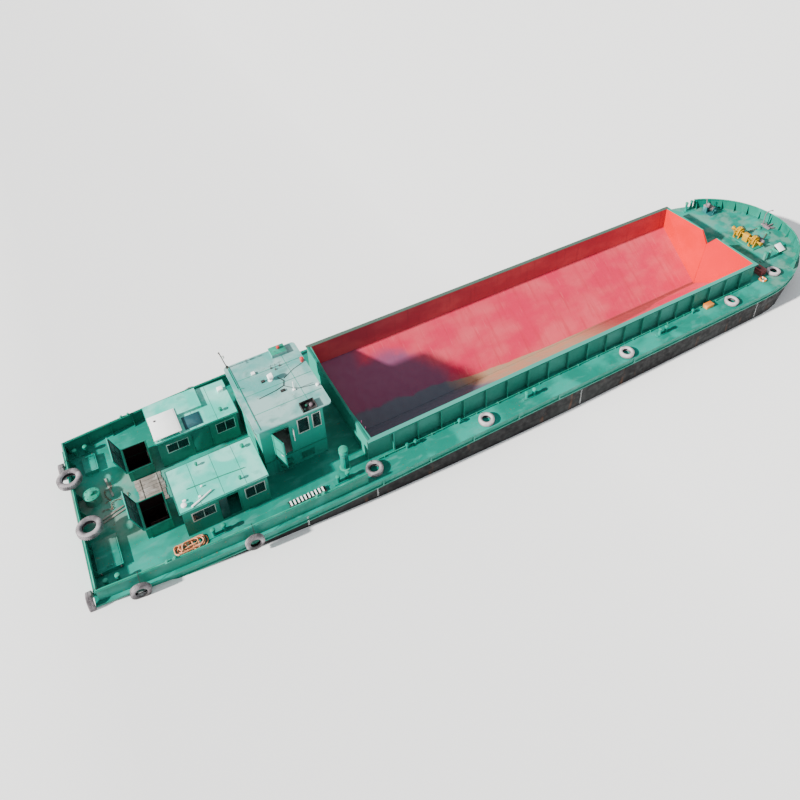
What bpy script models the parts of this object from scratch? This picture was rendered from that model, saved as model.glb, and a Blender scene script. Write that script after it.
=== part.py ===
"""River barge: a self-propelled inland hopper barge at half its real size.

Metres, +X towards the bow, +Y to port, +Z up. The origin is on the flat bottom, below the middle
of the overall length. Every size below is the model's own; the real vessel's is twice as much.
"""

import math

import bmesh
import bpy
from mathutils import Matrix, Vector

# Hull
HULL_LENGTH = 24.86
STERN_LENGTH = 6.88
STERN_FRAMES = 6
HOLD_LENGTH = 14.50
HALF_BEAM = 2.70
TRANSOM_HALF_BEAM = 2.41
DEPTH = 1.60
BILGE_RADIUS = 0.25
BOW_EXPONENT = 2.1
BOW_FOOT_LENGTH = 1.30
BOW_SEGMENTS = 20
SHEER_DEPTH = 0.28
LEDGE_REACH = 0.05
LEDGE_HEIGHT = 0.05
STRAKE_REACH = 0.03
STRAKE_HEIGHT = 0.04
SEAM = 0.0003
MOVING_GAP = 0.006

# Hold
HOLD_HALF_WIDTH = 2.00
COAMING_HEIGHT = 0.765
COAMING_PLATE = 0.03
COAMING_FLANGE = 0.10
COAMING_FLANGE_DEPTH = 0.03
COAMING_STIFFENERS = 19
STIFFENER_REACH = 0.08
STIFFENER_WIDTH = 0.022
KNUCKLE_DROP = 0.02
VALLEY_DROP = 1.335
HOPPER_PLATE = 0.03
BULKHEAD_RAKE = 0.24
BULKHEAD_FOLD = 0.10
NOTCH_HALF_WIDTH = 0.32
NOTCH_DEPTH = 0.43

# Bulwarks
BULWARK_HEIGHT = 0.375
BULWARK_PLATE = 0.025
BULWARK_INSET = 0.06
BULWARK_CAP_WIDTH = 0.07
BULWARK_CAP_DEPTH = 0.02
AFT_BULWARK_LENGTH = 6.55
BOW_BULWARK_AFT = 1.75

# Deckhouses over the engine room
HOUSE_AFT = 4.735
HOUSE_LENGTH = 2.175
HOUSE_INNER = 0.48
HOUSE_WIDTH = 1.375
HOUSE_HEIGHT = 0.955
HOUSE_WALL = 0.03
HOUSE_ROOF = 0.03
HOUSE_EAVES = 0.05
HOUSE_DOOR_ALONG = 0.905
HOUSE_DOOR_WIDTH = 0.48
HOUSE_DOOR_SILL = 0.05
HOUSE_DOOR_HEAD = 0.80
HOUSE_WINDOWS = [
    # forward of the roof's aft edge, length, sill and head above the deck
    (0.27, 0.52, 0.45, 0.72),
    (1.56, 0.47, 0.42, 0.75),
]

# Wheelhouse
WHEELHOUSE_AFT = 2.45
WHEELHOUSE_LENGTH = 1.675
WHEELHOUSE_HALF_WIDTH = 1.15
WHEELHOUSE_FLOOR = 0.50
WHEELHOUSE_TOP = 1.85
WHEELHOUSE_WALL = 0.03
WHEELHOUSE_ROOF = 0.035
WINDOW_SILL = 0.58
WINDOW_HEAD = 1.05
ROOF_AFT_OVERHANG = 0.10
ROOF_FWD_OVERHANG = 0.225
ROOF_SIDE_OVERHANG = 0.15
ROOF_CORNER = 0.10
MAST_AFT = 2.445
MAST_Y = 1.24
MAST_HEIGHT = 0.62
MAST_LEAN = 0.12
MAST_RADIUS = 0.014
MAST_CROSSBAR_SHARE = 0.55
MAST_CROSSBAR_REACH = 0.09
DOOR_AFT = 2.15
DOOR_WIDTH = 0.44
DOOR_HEIGHT = 0.94
DOOR_SILL = 0.03
DOOR_LEAF = 0.022
DOOR_OPEN_DEG = 71.0
DOOR_HINGE_RADIUS = 0.014

# Engine-room companions
COMPANION_AFT = 5.53
COMPANION_LENGTH = 0.62
COMPANION_INNER = 0.50
COMPANION_WIDTH = 0.87
COMPANION_HEIGHT = 0.36
COMPANION_WALL = 0.03
LID_THICKNESS = 0.02
LID_OPEN_DEG = 107.0
LID_HINGE_RADIUS = 0.018
WELL_DEPTH = 0.75
WELL_LENGTH = 1.25
ENGINE_LENGTH = 1.05
ENGINE_WIDTH = 0.44
ENGINE_HEIGHT = 0.46

# Steering-flat hatches near the transom
STERN_HATCH_FWD = 6.17
STERN_HATCH_RISE = 0.10
STERN_HATCHES = {
    # length, low y, high y
    "port": (0.33, 1.28, 1.85),
    "starboard": (0.56, -1.79, -0.88),
}

# Running gear
PROPELLER_RADIUS = 0.27
PROPELLER_BLADES = 4
PROPELLER_AFT = 5.97
PROPELLER_HEIGHT = 0.36
SHAFT_OFFSET = 1.15
HUB_RADIUS = 0.055
HUB_LENGTH = 0.16
STERN_TUBE_RADIUS = 0.06
STERN_TUBE_LENGTH = 1.35
BRACKET_WIDTH = 0.04
RUDDER_AFT = 6.45
RUDDER_CHORD = 0.36
RUDDER_BALANCE = 0.09
RUDDER_THICKNESS = 0.04
RUDDER_BOTTOM = 0.07
RUDDER_TOP = 0.70
RUDDER_STOCK_RADIUS = 0.03

# Deck gear
TYRE_SECTION_SIDES = 8
TYRE_SEGMENTS = 18
TYRE_HOLE = 0.55
BOLLARD_POST_RADIUS = 0.045
BOLLARD_HEIGHT = 0.22
BOLLARD_SPACING = 0.26
BOLLARD_BASE = 0.02
BOLLARD_BASE_WIDTH = 0.13
BOW_BITT_HEIGHT = 0.36
BOW_BITT_INSETS = (0.42, 1.23)
BOW_BITTS = ((15.96, HALF_BEAM - BOW_BITT_INSETS[0]), (15.88, BOW_BITT_INSETS[1] - HALF_BEAM))
STANDPIPE_AFT = 0.625
STANDPIPE_INSET = 0.82
STANDPIPE_Y = STANDPIPE_INSET - HALF_BEAM
STANDPIPE_RADIUS = 0.11
STANDPIPE_HEIGHT = 0.60
STEERING_DRUM_AFT = 6.46
STEERING_DRUM_Y = 0.40
STEERING_DRUM_RADIUS = 0.20
STEERING_DRUM_HEIGHT = 0.26
STERN_BOLLARDS = [
    # forward of the hold's aft end, half the distance between the pairs
    (-0.85, HALF_BEAM - 0.465),
    (-4.03, HALF_BEAM - 0.615),
    (-6.48, TRANSOM_HALF_BEAM - 0.31),
]
SIDE_BOLLARDS = (4.94, 10.05)
SIDE_BOLLARD_INSET = 0.32
SIDE_DECK_MIDDLE = (HOLD_HALF_WIDTH + HALF_BEAM) / 2
VENTS = (1.05, 1.30, 2.68, 11.55)
VENT_OUT = 0.18
VENT_RADIUS = 0.055
VENT_HEIGHT = 0.15
SHEER_BARS = (0.05, 1.465, 2.82, 4.32, 5.735, 8.60)
SHEER_BAR_WIDTH = 0.05
ROPE_FWD = -4.72
ROPE_LENGTH = 0.86
ROPE_WIDTH = 0.40
ROPE_GAP = 0.035
ROPE_Y = -(HOUSE_INNER + HOUSE_WIDTH + ROPE_GAP + ROPE_WIDTH / 2)
ROPE_HEIGHT = 0.13
WINCH_FWD = 16.62
WINCH_INSET = 0.98
WINCH_Y = HALF_BEAM - WINCH_INSET
WINCH_SPAN = 0.36
WINCH_AXLE_HEIGHT = 0.17
WINCH_DRUM_RADIUS = 0.085
WINCH_FLANGE_RADIUS = 0.14
WINCH_FLANGE = 0.015
WINCH_AXLE_RADIUS = 0.03
BOX_FWD = 15.08
BOX_INSET = 0.90
BOX_Y = BOX_INSET - HALF_BEAM
BOX_SIZE = (0.26, 0.42, 0.20)
ANCHOR_FWD = 17.55
ANCHOR_Y = -0.12
ROOF_BOX_HEIGHT = 0.10
ROOF_BOX_LENGTH = 0.42
ROOF_BOX_WIDTH = 0.34
ROOF_BOX_FORWARD = 1.26
ROOF_BOX_INSET = 0.02
HOUSE_BOX_HEIGHT = 0.09
HOUSE_BOX_LENGTH = 1.38
HOUSE_BOX_WIDTH = 0.72
HOUSE_BOX_INSET = 0.015
WINDLASS_AFT = 16.19
WINDLASS_Y = -0.32
WINDLASS_SPAN = 1.00
WINDLASS_AXLE_HEIGHT = 0.24
WINDLASS_AXLE_RADIUS = 0.035
AXLE_CLEARANCE = 0.0005
CHAIN_WHEEL_RADIUS = 0.18
CHAIN_WHEEL_WIDTH = 0.15
WINDLASS_CHEEK = 0.035
WINCH_CHEEK = 0.02
CHEEK_GAP = 0.008

AFT_TYRE_REACH = 0.25
OVERALL_LENGTH = AFT_TYRE_REACH + HULL_LENGTH + LEDGE_REACH
STERN_X = -OVERALL_LENGTH / 2 + AFT_TYRE_REACH
HOLD_AFT_X = STERN_X + STERN_LENGTH
HOLD_FWD_X = HOLD_AFT_X + HOLD_LENGTH
BOW_LENGTH = HULL_LENGTH - STERN_LENGTH - HOLD_LENGTH
SHEER_Z = DEPTH - SHEER_DEPTH

# Colours: red, green, blue, roughness, metallic
FINISHES = {
    "hull_black": (0.030, 0.030, 0.032, 0.60, 0.0),
    "deck_green": (0.130, 0.480, 0.360, 0.55, 0.0),
    "roof_green": (0.360, 0.640, 0.540, 0.60, 0.0),
    "hopper_red": (0.800, 0.200, 0.200, 0.65, 0.0),
    "coaming_green": (0.060, 0.330, 0.250, 0.50, 0.0),
    "engine_grey": (0.120, 0.160, 0.150, 0.50, 0.2),
    "tyre_rubber": (0.250, 0.230, 0.240, 0.90, 0.0),
    "bronze": (0.520, 0.360, 0.150, 0.40, 0.9),
    "yellow_paint": (0.850, 0.560, 0.080, 0.45, 0.0),
    "dark_steel": (0.110, 0.100, 0.120, 0.60, 0.4),
    "box_red": (0.250, 0.050, 0.060, 0.60, 0.0),
    "orange_rope": (0.850, 0.260, 0.080, 0.85, 0.0),
}


def clear_scene():
    for item in list(bpy.data.objects):
        bpy.data.objects.remove(item, do_unlink=True)


def finish(name):
    """The named paint or metal, made once."""
    found = bpy.data.materials.get(name)
    if found:
        return found
    red, green, blue, roughness, metallic = FINISHES[name]
    made = bpy.data.materials.new(name)
    made.use_nodes = True
    shader = made.node_tree.nodes["Principled BSDF"]
    shader.inputs["Base Color"].default_value = (red, green, blue, 1.0)
    shader.inputs["Roughness"].default_value = roughness
    shader.inputs["Metallic"].default_value = metallic
    made.diffuse_color = (red, green, blue, 1.0)
    return made


def add(name, shape, paint, origin=(0.0, 0.0, 0.0), smooth=False):
    """Makes one object from a bmesh in world coordinates, with its origin where it turns."""
    bmesh.ops.recalc_face_normals(shape, faces=shape.faces)
    mesh = bpy.data.meshes.new(name)
    shape.to_mesh(mesh)
    shape.free()
    mesh.transform(Matrix.Translation(-Vector(origin)))
    if smooth:
        mesh.shade_smooth()
        mesh.set_sharp_from_angle(angle=math.radians(40))
    item = bpy.data.objects.new(name, mesh)
    item.location = origin
    mesh.materials.append(finish(paint))
    bpy.context.scene.collection.objects.link(item)
    return item


def loft(rings):
    """A closed body through rings of as many points each, with a flat face on each end."""
    shape = bmesh.new()
    rows = [[shape.verts.new(point) for point in ring] for ring in rings]
    count = len(rows[0])
    for low, high in zip(rows, rows[1:]):
        for i in range(count):
            j = (i + 1) % count
            shape.faces.new((low[i], low[j], high[j], high[i]))
    shape.faces.new(rows[0])
    shape.faces.new(rows[-1])
    return shape


def prism_x(outline, x0, x1):
    """The outline of (y, z) points, drawn out along X."""
    return loft([[(x, y, z) for y, z in outline] for x in (x0, x1)])


def prism_y(outline, y0, y1):
    """The outline of (x, z) points, drawn out along Y."""
    return loft([[(x, y, z) for x, z in outline] for y in (y0, y1)])


def prism_z(outline, z0, z1):
    """The outline of (x, y) points, drawn out along Z."""
    return loft([[(x, y, z) for x, y in outline] for z in (z0, z1)])


def block(low, high):
    (x0, y0, z0), (x1, y1, z1) = low, high
    return prism_z([(x0, y0), (x1, y0), (x1, y1), (x0, y1)], z0, z1)


def cylinder(start, end, radius, sides=16, end_radius=None):
    """A round bar between two points."""
    start, end = Vector(start), Vector(end)
    turn = Vector((0, 0, 1)).rotation_difference(end - start)
    rings = []
    for centre, size in ((start, radius), (end, end_radius or radius)):
        ring = []
        for i in range(sides):
            angle = 2 * math.pi * i / sides
            spoke = turn @ Vector((math.cos(angle), math.sin(angle), 0))
            ring.append(centre + size * spoke)
        rings.append(ring)
    return loft(rings)


def turned(profile, centre, axis, sides=18):
    """A ring or wheel: the closed (radius, along) profile turned about the axis through the centre."""
    shape = bmesh.new()
    centre = Vector(centre)
    turn = Vector((0, 0, 1)).rotation_difference(Vector(axis))
    rows = []
    for i in range(sides):
        angle = 2 * math.pi * i / sides
        spoke = Vector((math.cos(angle), math.sin(angle), 0))
        row = [centre + turn @ (spoke * r + Vector((0, 0, along))) for r, along in profile]
        rows.append([shape.verts.new(point) for point in row])
    count = len(profile)
    for i in range(sides):
        near, far = rows[i], rows[(i + 1) % sides]
        for j in range(count):
            k = (j + 1) % count
            shape.faces.new((near[j], near[k], far[k], far[j]))
    return shape


def spool(centre, profile, sides=16):
    """A solid body turned about +Y through the centre, from (along, radius) pairs."""
    rings = []
    for along, radius in profile:
        ring = []
        for i in range(sides):
            angle = 2 * math.pi * (i + 0.5) / sides
            x, z = centre[0] + radius * math.cos(angle), centre[2] + radius * math.sin(angle)
            ring.append((x, centre[1] + along, z))
        rings.append(ring)
    return loft(rings)


def boolean(base, tools, operation):
    """Joins the tools to the base object, or cuts them out of it, and removes them."""
    for tool in tools:
        change = base.modifiers.new("change", "BOOLEAN")
        change.operation = operation
        change.solver = "EXACT"
        change.object = tool
    view = bpy.context.evaluated_depsgraph_get()
    mesh = bpy.data.meshes.new_from_object(base.evaluated_get(view))
    base.modifiers.clear()
    base.data = mesh
    mesh.materials.clear()
    mesh.materials.append(finish(base["paint"]) if "paint" in base else finish("deck_green"))
    for tool in tools:
        bpy.data.objects.remove(tool, do_unlink=True)
    return base


def solid(name, shape, paint, joined=(), cut=(), origin=(0.0, 0.0, 0.0), smooth=False):
    """A node whose first shape has others joined to it and more cut out of it."""
    item = add(name, shape, paint, origin, smooth)
    item["paint"] = paint
    if joined:
        boolean(item, [add("joined", part, paint) for part in joined], "UNION")
    if cut:
        boolean(item, [add("cutter", part, paint) for part in cut], "DIFFERENCE")
    if smooth:
        item.data.shade_smooth()
        item.data.set_sharp_from_angle(angle=math.radians(40))
    return item


def half_breadth(x):
    """Half the deck's breadth aft of the hold, straight from each frame to the next."""
    along = max(0.0, (HOLD_AFT_X - x) / STERN_LENGTH * STERN_FRAMES)
    frame = min(int(along), STERN_FRAMES - 1)
    taper = HALF_BEAM - TRANSOM_HALF_BEAM
    near = HALF_BEAM - taper * (frame / STERN_FRAMES) ** 2
    far = HALF_BEAM - taper * ((frame + 1) / STERN_FRAMES) ** 2
    return near + (far - near) * (along - frame)


def bow_outline(length, half_width, start=0.0):
    """Plan of the bow from port to starboard: a rounded superellipse that begins at the hold's end.

    start leaves out the stretch that lies less than that far forward.
    """
    outline = []
    first = math.acos(min(1.0, (start / length) ** (BOW_EXPONENT / 2))) if start else math.pi / 2
    for i in range(BOW_SEGMENTS + 1):
        angle = first - 2 * first * i / BOW_SEGMENTS
        along = abs(math.cos(angle)) ** (2 / BOW_EXPONENT)
        across = math.copysign(abs(math.sin(angle)) ** (2 / BOW_EXPONENT), angle)
        outline.append((HOLD_FWD_X + length * along, half_width * across))
    return outline


def bilge(radius, steps=4):
    """Points of the bilge as (inset from the side, height above the bottom), from the bottom up."""
    angles = [math.pi / 2 * i / steps for i in range(steps + 1)]
    return [(radius * (1 - math.sin(angle)), radius * (1 - math.cos(angle))) for angle in angles]


# Hull below the sheer strake

STERN_STATIONS = [
    # forward of the transom, height of the bottom
    (STERN_LENGTH, 0.00),
    (4.05, 0.00),
    (2.45, 0.25),
    (1.05, 0.64),
    (0.00, 0.82),
]


def stern_bottom(x):
    """Height of the raised bottom under the stern."""
    forward = x - STERN_X
    for (far, low), (near, high) in zip(STERN_STATIONS, STERN_STATIONS[1:]):
        if forward >= near:
            return low + (high - low) * (far - forward) / (far - near)
    return STERN_STATIONS[-1][1]


def make_hull_stern():
    rings = []
    for forward, bottom in STERN_STATIONS:
        x = STERN_X + forward - (SEAM if forward == STERN_LENGTH else 0)
        side = half_breadth(x)
        port = [(side - inset, bottom + rise) for inset, rise in bilge(BILGE_RADIUS)]
        port.append((side, SHEER_Z - SEAM))
        starboard = [(-y, z) for y, z in reversed(port)]
        rings.append([(x, y, z) for y, z in port + starboard])
    wells = []
    for side in (1, -1):
        inner, outer = companion_span(side)
        aft = HOLD_AFT_X - COMPANION_AFT + COMPANION_WALL
        wells.append(block((aft, inner, DEPTH - WELL_DEPTH), (aft + WELL_LENGTH, outer, DEPTH)))
    tubes = []
    for side in (1, -1):
        y = side * SHAFT_OFFSET
        aft = HOLD_AFT_X - PROPELLER_AFT + HUB_LENGTH / 2 + SEAM
        tubes.append(cylinder((aft, y, PROPELLER_HEIGHT), (aft + STERN_TUBE_LENGTH, y, PROPELLER_HEIGHT),
                              STERN_TUBE_RADIUS))
        tubes.append(block((aft + 0.05, y - BRACKET_WIDTH / 2, PROPELLER_HEIGHT),
                           (aft + 0.25, y + BRACKET_WIDTH / 2, stern_bottom(aft) + 0.05)))
    solid("hull_stern", loft(rings), "hull_black", joined=tubes, cut=wells)


def mid_section(side):
    """Half of the midship section under the hopper, as (y, z) points."""
    outline = [(SEAM / 2, 0.0)]
    outline += [(HALF_BEAM - inset, rise) for inset, rise in bilge(BILGE_RADIUS)]
    outline.append((HALF_BEAM, SHEER_Z - SEAM))
    outline.append((hopper_y(SHEER_Z - SEAM, under=True), SHEER_Z - SEAM))
    outline.append((SEAM / 2, hopper_z(0.0, under=True)))
    return [(side * y, z) for y, z in outline]


def hopper_z(y, under=False):
    """Height of the hopper slope at y: its face, or what lies under its plate."""
    rise = VALLEY_DROP - KNUCKLE_DROP
    tilt = math.hypot(rise, HOLD_HALF_WIDTH) / HOLD_HALF_WIDTH
    face = DEPTH - VALLEY_DROP + rise * abs(y) / HOLD_HALF_WIDTH
    return face - ((HOPPER_PLATE + SEAM) * tilt if under else 0.0)


def hopper_y(z, under=False):
    """Where the hopper slope, or what lies under its plate, reaches a height."""
    low = hopper_z(0.0, under)
    return (z - low) * HOLD_HALF_WIDTH / (VALLEY_DROP - KNUCKLE_DROP)


def make_hull_mid():
    for name, side in (("hull_mid_port", 1), ("hull_mid_starboard", -1)):
        add(name, prism_x(mid_section(side), HOLD_AFT_X, HOLD_FWD_X - SEAM), "hull_black")


def make_hull_bow():
    levels = [(rise, inset, 0.0) for inset, rise in bilge(BILGE_RADIUS)]
    levels.append((SHEER_Z * 0.62, 0.0, 0.55))
    levels.append((SHEER_Z - SEAM, 0.0, 1.0))
    rings = []
    for height, inset, spread in levels:
        reach = BOW_LENGTH - BOW_FOOT_LENGTH * (1 - spread) - inset
        plan = bow_outline(reach, HALF_BEAM - inset)
        rings.append([(x, y, height) for x, y in plan])
    add("hull_bow", loft(rings), "hull_black")


# Sheer strake and deck: a slab with the rubbing ledge along its top and a strip along its foot

SHEER_PROFILE = [
    # reach beyond the side, height
    (STRAKE_REACH, SHEER_Z),
    (STRAKE_REACH, SHEER_Z + STRAKE_HEIGHT),
    (0.0, SHEER_Z + STRAKE_HEIGHT + 0.01),
    (0.0, DEPTH - LEDGE_HEIGHT - 0.01),
    (LEDGE_REACH, DEPTH - LEDGE_HEIGHT),
    (LEDGE_REACH, DEPTH),
]


def companion_span(side):
    """Inner faces of a companion's opening, low y first."""
    ends = (side * (COMPANION_INNER + COMPANION_WALL),
            side * (COMPANION_INNER + COMPANION_WIDTH - COMPANION_WALL))
    return min(ends), max(ends)


def bollard_pair(x, y, height=BOLLARD_HEIGHT):
    """Two posts with rims on one base plate, set into the deck."""
    parts = [block((x - BOLLARD_SPACING, y - BOLLARD_BASE_WIDTH / 2, DEPTH - 0.01),
                   (x + BOLLARD_SPACING, y + BOLLARD_BASE_WIDTH / 2, DEPTH + BOLLARD_BASE))]
    for end in (-1, 1):
        post = x + end * BOLLARD_SPACING / 2
        top = DEPTH + height
        parts.append(cylinder((post, y, DEPTH), (post, y, top), BOLLARD_POST_RADIUS, 12))
        parts.append(cylinder((post, y, top - 0.03), (post, y, top + 0.015),
                              BOLLARD_POST_RADIUS * 1.35, 12))
    return parts


def make_deck_stern():
    stations = [STERN_X + (STERN_LENGTH - SEAM) * i / STERN_FRAMES for i in range(STERN_FRAMES + 1)]
    rings = []
    for reach, z in SHEER_PROFILE:
        port = [(x, half_breadth(x) + reach) for x in [STERN_X - reach] + stations[1:]]
        ring = port + [(x, -y) for x, y in reversed(port)]
        rings.append([(x, y, z) for x, y in ring])
    fittings = []
    for x, y in STERN_BOLLARDS:
        for side in (1, -1):
            fittings += bollard_pair(HOLD_AFT_X + x, side * y)
    x, y = HOLD_AFT_X - STEERING_DRUM_AFT, STEERING_DRUM_Y
    fittings.append(cylinder((x, y, DEPTH - 0.01), (x, y, DEPTH + STEERING_DRUM_HEIGHT), STEERING_DRUM_RADIUS))
    x, y = HOLD_AFT_X - STANDPIPE_AFT, STANDPIPE_Y
    top = DEPTH + STANDPIPE_HEIGHT
    fittings.append(cylinder((x, y, DEPTH - 0.01), (x, y, top), STANDPIPE_RADIUS, 14))
    fittings.append(cylinder((x, y, top - 0.01), (x, y, top + 0.06), STANDPIPE_RADIUS * 1.15, 14,
                             STANDPIPE_RADIUS * 0.6))
    for name in STERN_HATCHES:
        low, high = stern_hatch_plan(name)
        fittings.append(block((low[0], low[1], DEPTH - 0.01), (high[0], high[1], DEPTH + STERN_HATCH_RISE)))
    openings = []
    for side in (1, -1):
        inner, outer = companion_span(side)
        aft = HOLD_AFT_X - COMPANION_AFT + COMPANION_WALL
        fwd = aft + COMPANION_LENGTH - 2 * COMPANION_WALL
        openings.append(block((aft, inner, SHEER_Z - 0.1), (fwd, outer, DEPTH + 0.1)))
    solid("deck_stern", loft(rings), "deck_green", joined=fittings, cut=openings)


def make_side_decks():
    for name, side in (("side_deck_port", 1), ("side_deck_starboard", -1)):
        outline = [(hopper_y(SHEER_Z, under=True), SHEER_Z)]
        outline += [(HALF_BEAM + reach, z) for reach, z in SHEER_PROFILE]
        inner = HOLD_HALF_WIDTH + SEAM
        outline += [(inner, DEPTH), (inner, hopper_z(inner, under=True))]
        outline = [(side * y, z) for y, z in outline]
        fittings = []
        for along in SIDE_BOLLARDS:
            fittings += bollard_pair(HOLD_AFT_X + along, side * (HALF_BEAM - SIDE_BOLLARD_INSET))
        for along in VENTS:
            x, y = HOLD_AFT_X + along, side * (HOLD_HALF_WIDTH + VENT_OUT)
            head = DEPTH + VENT_HEIGHT
            fittings.append(cylinder((x, y, DEPTH - 0.01), (x, y, head), VENT_RADIUS * 0.6, 10))
            fittings.append(cylinder((x, y, head - 0.03), (x, y, head + 0.03), VENT_RADIUS, 10,
                                     VENT_RADIUS * 0.6))
        for along in SHEER_BARS:
            x = HOLD_AFT_X + along
            ends = (side * (HALF_BEAM - 0.01), side * (HALF_BEAM + STRAKE_REACH))
            fittings.append(block((x - SHEER_BAR_WIDTH / 2, min(ends), SHEER_Z + STRAKE_HEIGHT / 2),
                                  (x + SHEER_BAR_WIDTH / 2, max(ends), DEPTH - LEDGE_HEIGHT / 2)))
        solid(name, prism_x(outline, HOLD_AFT_X, HOLD_FWD_X - SEAM), "deck_green", joined=fittings)


def make_deck_bow():
    rings = []
    for reach, z in SHEER_PROFILE:
        plan = bow_outline(BOW_LENGTH + reach, HALF_BEAM + reach)
        rings.append([(x, y, z) for x, y in plan])
    fittings = []
    for x, y in BOW_BITTS:
        fittings += bollard_pair(HOLD_AFT_X + x, y, BOW_BITT_HEIGHT)
    solid("deck_bow", loft(rings), "deck_green", joined=fittings)


# Hold

def make_coamings():
    top = DEPTH + COAMING_HEIGHT
    foot = DEPTH - KNUCKLE_DROP + SEAM
    for name, side in (("coaming_port", 1), ("coaming_starboard", -1)):
        outer, inner = HOLD_HALF_WIDTH, HOLD_HALF_WIDTH - COAMING_PLATE
        plate = [(inner, foot), (outer, foot), (outer, top - COAMING_FLANGE_DEPTH),
                 (outer + COAMING_FLANGE, top - COAMING_FLANGE_DEPTH),
                 (outer + COAMING_FLANGE, top), (inner, top)]
        plate = [(side * y, z) for y, z in plate]
        spine = side * (inner + COAMING_PLATE / 2)
        face, reach = side * outer, side * (outer + STIFFENER_REACH)
        comb = [(HOLD_AFT_X + 0.1, spine), (HOLD_AFT_X + 0.1, spine + side * 0.005)]
        for i in range(1, COAMING_STIFFENERS + 1):
            x = HOLD_AFT_X + HOLD_LENGTH * i / (COAMING_STIFFENERS + 1)
            low, high = x - STIFFENER_WIDTH / 2, x + STIFFENER_WIDTH / 2
            root = spine + side * 0.005
            comb += [(low, root), (low, reach), (high, reach), (high, root)]
        comb += [(HOLD_FWD_X - 0.1, spine + side * 0.005), (HOLD_FWD_X - 0.1, spine)]
        ribs = prism_z(comb, DEPTH + SEAM, top - COAMING_FLANGE_DEPTH / 2)
        solid(name, prism_x(plate, HOLD_AFT_X, HOLD_FWD_X - SEAM), "coaming_green", joined=[ribs])


def make_hopper_slopes():
    for name, side in (("hopper_slope_port", 1), ("hopper_slope_starboard", -1)):
        outer = HOLD_HALF_WIDTH
        outline = [(SEAM / 2, hopper_z(0.0, under=True) + SEAM), (outer, hopper_z(outer, under=True) + SEAM),
                   (outer, hopper_z(outer)), (SEAM / 2, hopper_z(0.0))]
        outline = [(side * y, z) for y, z in outline]
        add(name, prism_x(outline, HOLD_AFT_X, HOLD_FWD_X - SEAM), "hopper_red")


def bulkhead(end_x, facing, notched):
    """A bulkhead with a flat outer face and an inner face folded down its middle, its foot raked."""
    half = HOLD_HALF_WIDTH - COAMING_PLATE - SEAM
    top = DEPTH + COAMING_HEIGHT
    valley = hopper_z(0.0) + SEAM
    knee = hopper_z(half) + SEAM
    outer = end_x - facing * SEAM

    def folded(y, z):
        rake = BULKHEAD_RAKE * (top - z) / (top - valley)
        return outer - facing * (COAMING_PLATE + BULKHEAD_FOLD * abs(y) / half + rake)

    throat = top - (NOTCH_DEPTH if notched else 0.0)
    outline = [(0.0, valley), (half, top), (NOTCH_HALF_WIDTH, top), (0.0, throat)]
    side_x = outer - facing * (COAMING_PLATE + BULKHEAD_FOLD)
    shape = bmesh.new()
    middle = None
    for side in (1, -1):
        near = [shape.verts.new((folded(y, z), side * y, z)) for y, z in outline]
        far = [shape.verts.new((outer, side * y, z)) for y, z in outline]
        if middle:
            for row, kept in ((near, middle[0]), (far, middle[1])):
                shape.verts.remove(row[0])
                shape.verts.remove(row[3])
                row[0], row[3] = kept
        middle = ((near[0], near[3]), (far[0], far[3]))
        near_knee = shape.verts.new((side_x, side * half, knee))
        far_knee = shape.verts.new((outer, side * half, knee))
        shape.faces.new((near[0], near_knee, near[1]))
        shape.faces.new(near)
        shape.faces.new((far[0], far_knee, far[1], far[2], far[3]))
        shape.faces.new((near[0], near_knee, far_knee, far[0]))
        shape.faces.new((near_knee, near[1], far[1], far_knee))
        for i in (1, 2):
            shape.faces.new((near[i], near[i + 1], far[i + 1], far[i]))
    return shape


def make_bulkheads():
    add("bulkhead_fore", bulkhead(HOLD_FWD_X, 1, True), "hopper_red")
    add("bulkhead_aft", bulkhead(HOLD_AFT_X - SEAM, -1, False), "hopper_red")


# Bulwarks

def wall_along(path, profile):
    """A wall whose (offset to the left, height) profile follows a path of (x, y) points."""
    rings = []
    for i, point in enumerate(path):
        here = Vector(point)
        before = (here - Vector(path[i - 1])).normalized() if i else None
        after = (Vector(path[i + 1]) - here).normalized() if i + 1 < len(path) else None
        if before is None:
            normal, stretch = Vector((-after.y, after.x)), 1.0
        elif after is None:
            normal, stretch = Vector((-before.y, before.x)), 1.0
        else:
            middle = (before + after).normalized()
            normal = Vector((-middle.y, middle.x))
            stretch = 1 / max(0.3, middle.dot(after))
        rings.append([(here.x + normal.x * off * stretch, here.y + normal.y * off * stretch, z)
                      for off, z in profile])
    return loft(rings)


def bulwark_profile():
    """Plate with a cap rail on it."""
    top = DEPTH + BULWARK_HEIGHT
    under = top - BULWARK_CAP_DEPTH
    half_plate, half_cap = BULWARK_PLATE / 2, BULWARK_CAP_WIDTH / 2
    return [(-half_plate, DEPTH + SEAM), (half_plate, DEPTH + SEAM), (half_plate, under), (half_cap, under),
            (half_cap, top), (-half_cap, top), (-half_cap, under), (-half_plate, under)]


def make_bulwarks():
    aft = STERN_X + BULWARK_INSET
    frames = range(STERN_FRAMES + 1)
    stations = [aft + (AFT_BULWARK_LENGTH - BULWARK_INSET) * i / STERN_FRAMES for i in frames]
    side = [(x, half_breadth(x) - BULWARK_INSET) for x in stations]
    path = list(reversed(side)) + [(x, -y) for x, y in side]
    add("bulwark_stern", wall_along(path, bulwark_profile()), "deck_green")
    inset = BULWARK_INSET
    path = bow_outline(BOW_LENGTH - inset, HALF_BEAM - inset, start=BOW_BULWARK_AFT)
    add("bulwark_bow", wall_along(path, bulwark_profile()), "deck_green")


# Deckhouses

def window_cutters(openings, wall):
    """Cutters for windows: each row is an axis, the wall's place, then the span along it and in height."""
    cutters = []
    for axis, at, low, high, bottom, top in openings:
        if axis == "x":
            cutters.append(block((at - wall, low, bottom), (at + wall, high, top)))
        else:
            cutters.append(block((low, at - wall, bottom), (high, at + wall, top)))
    return cutters


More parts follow.
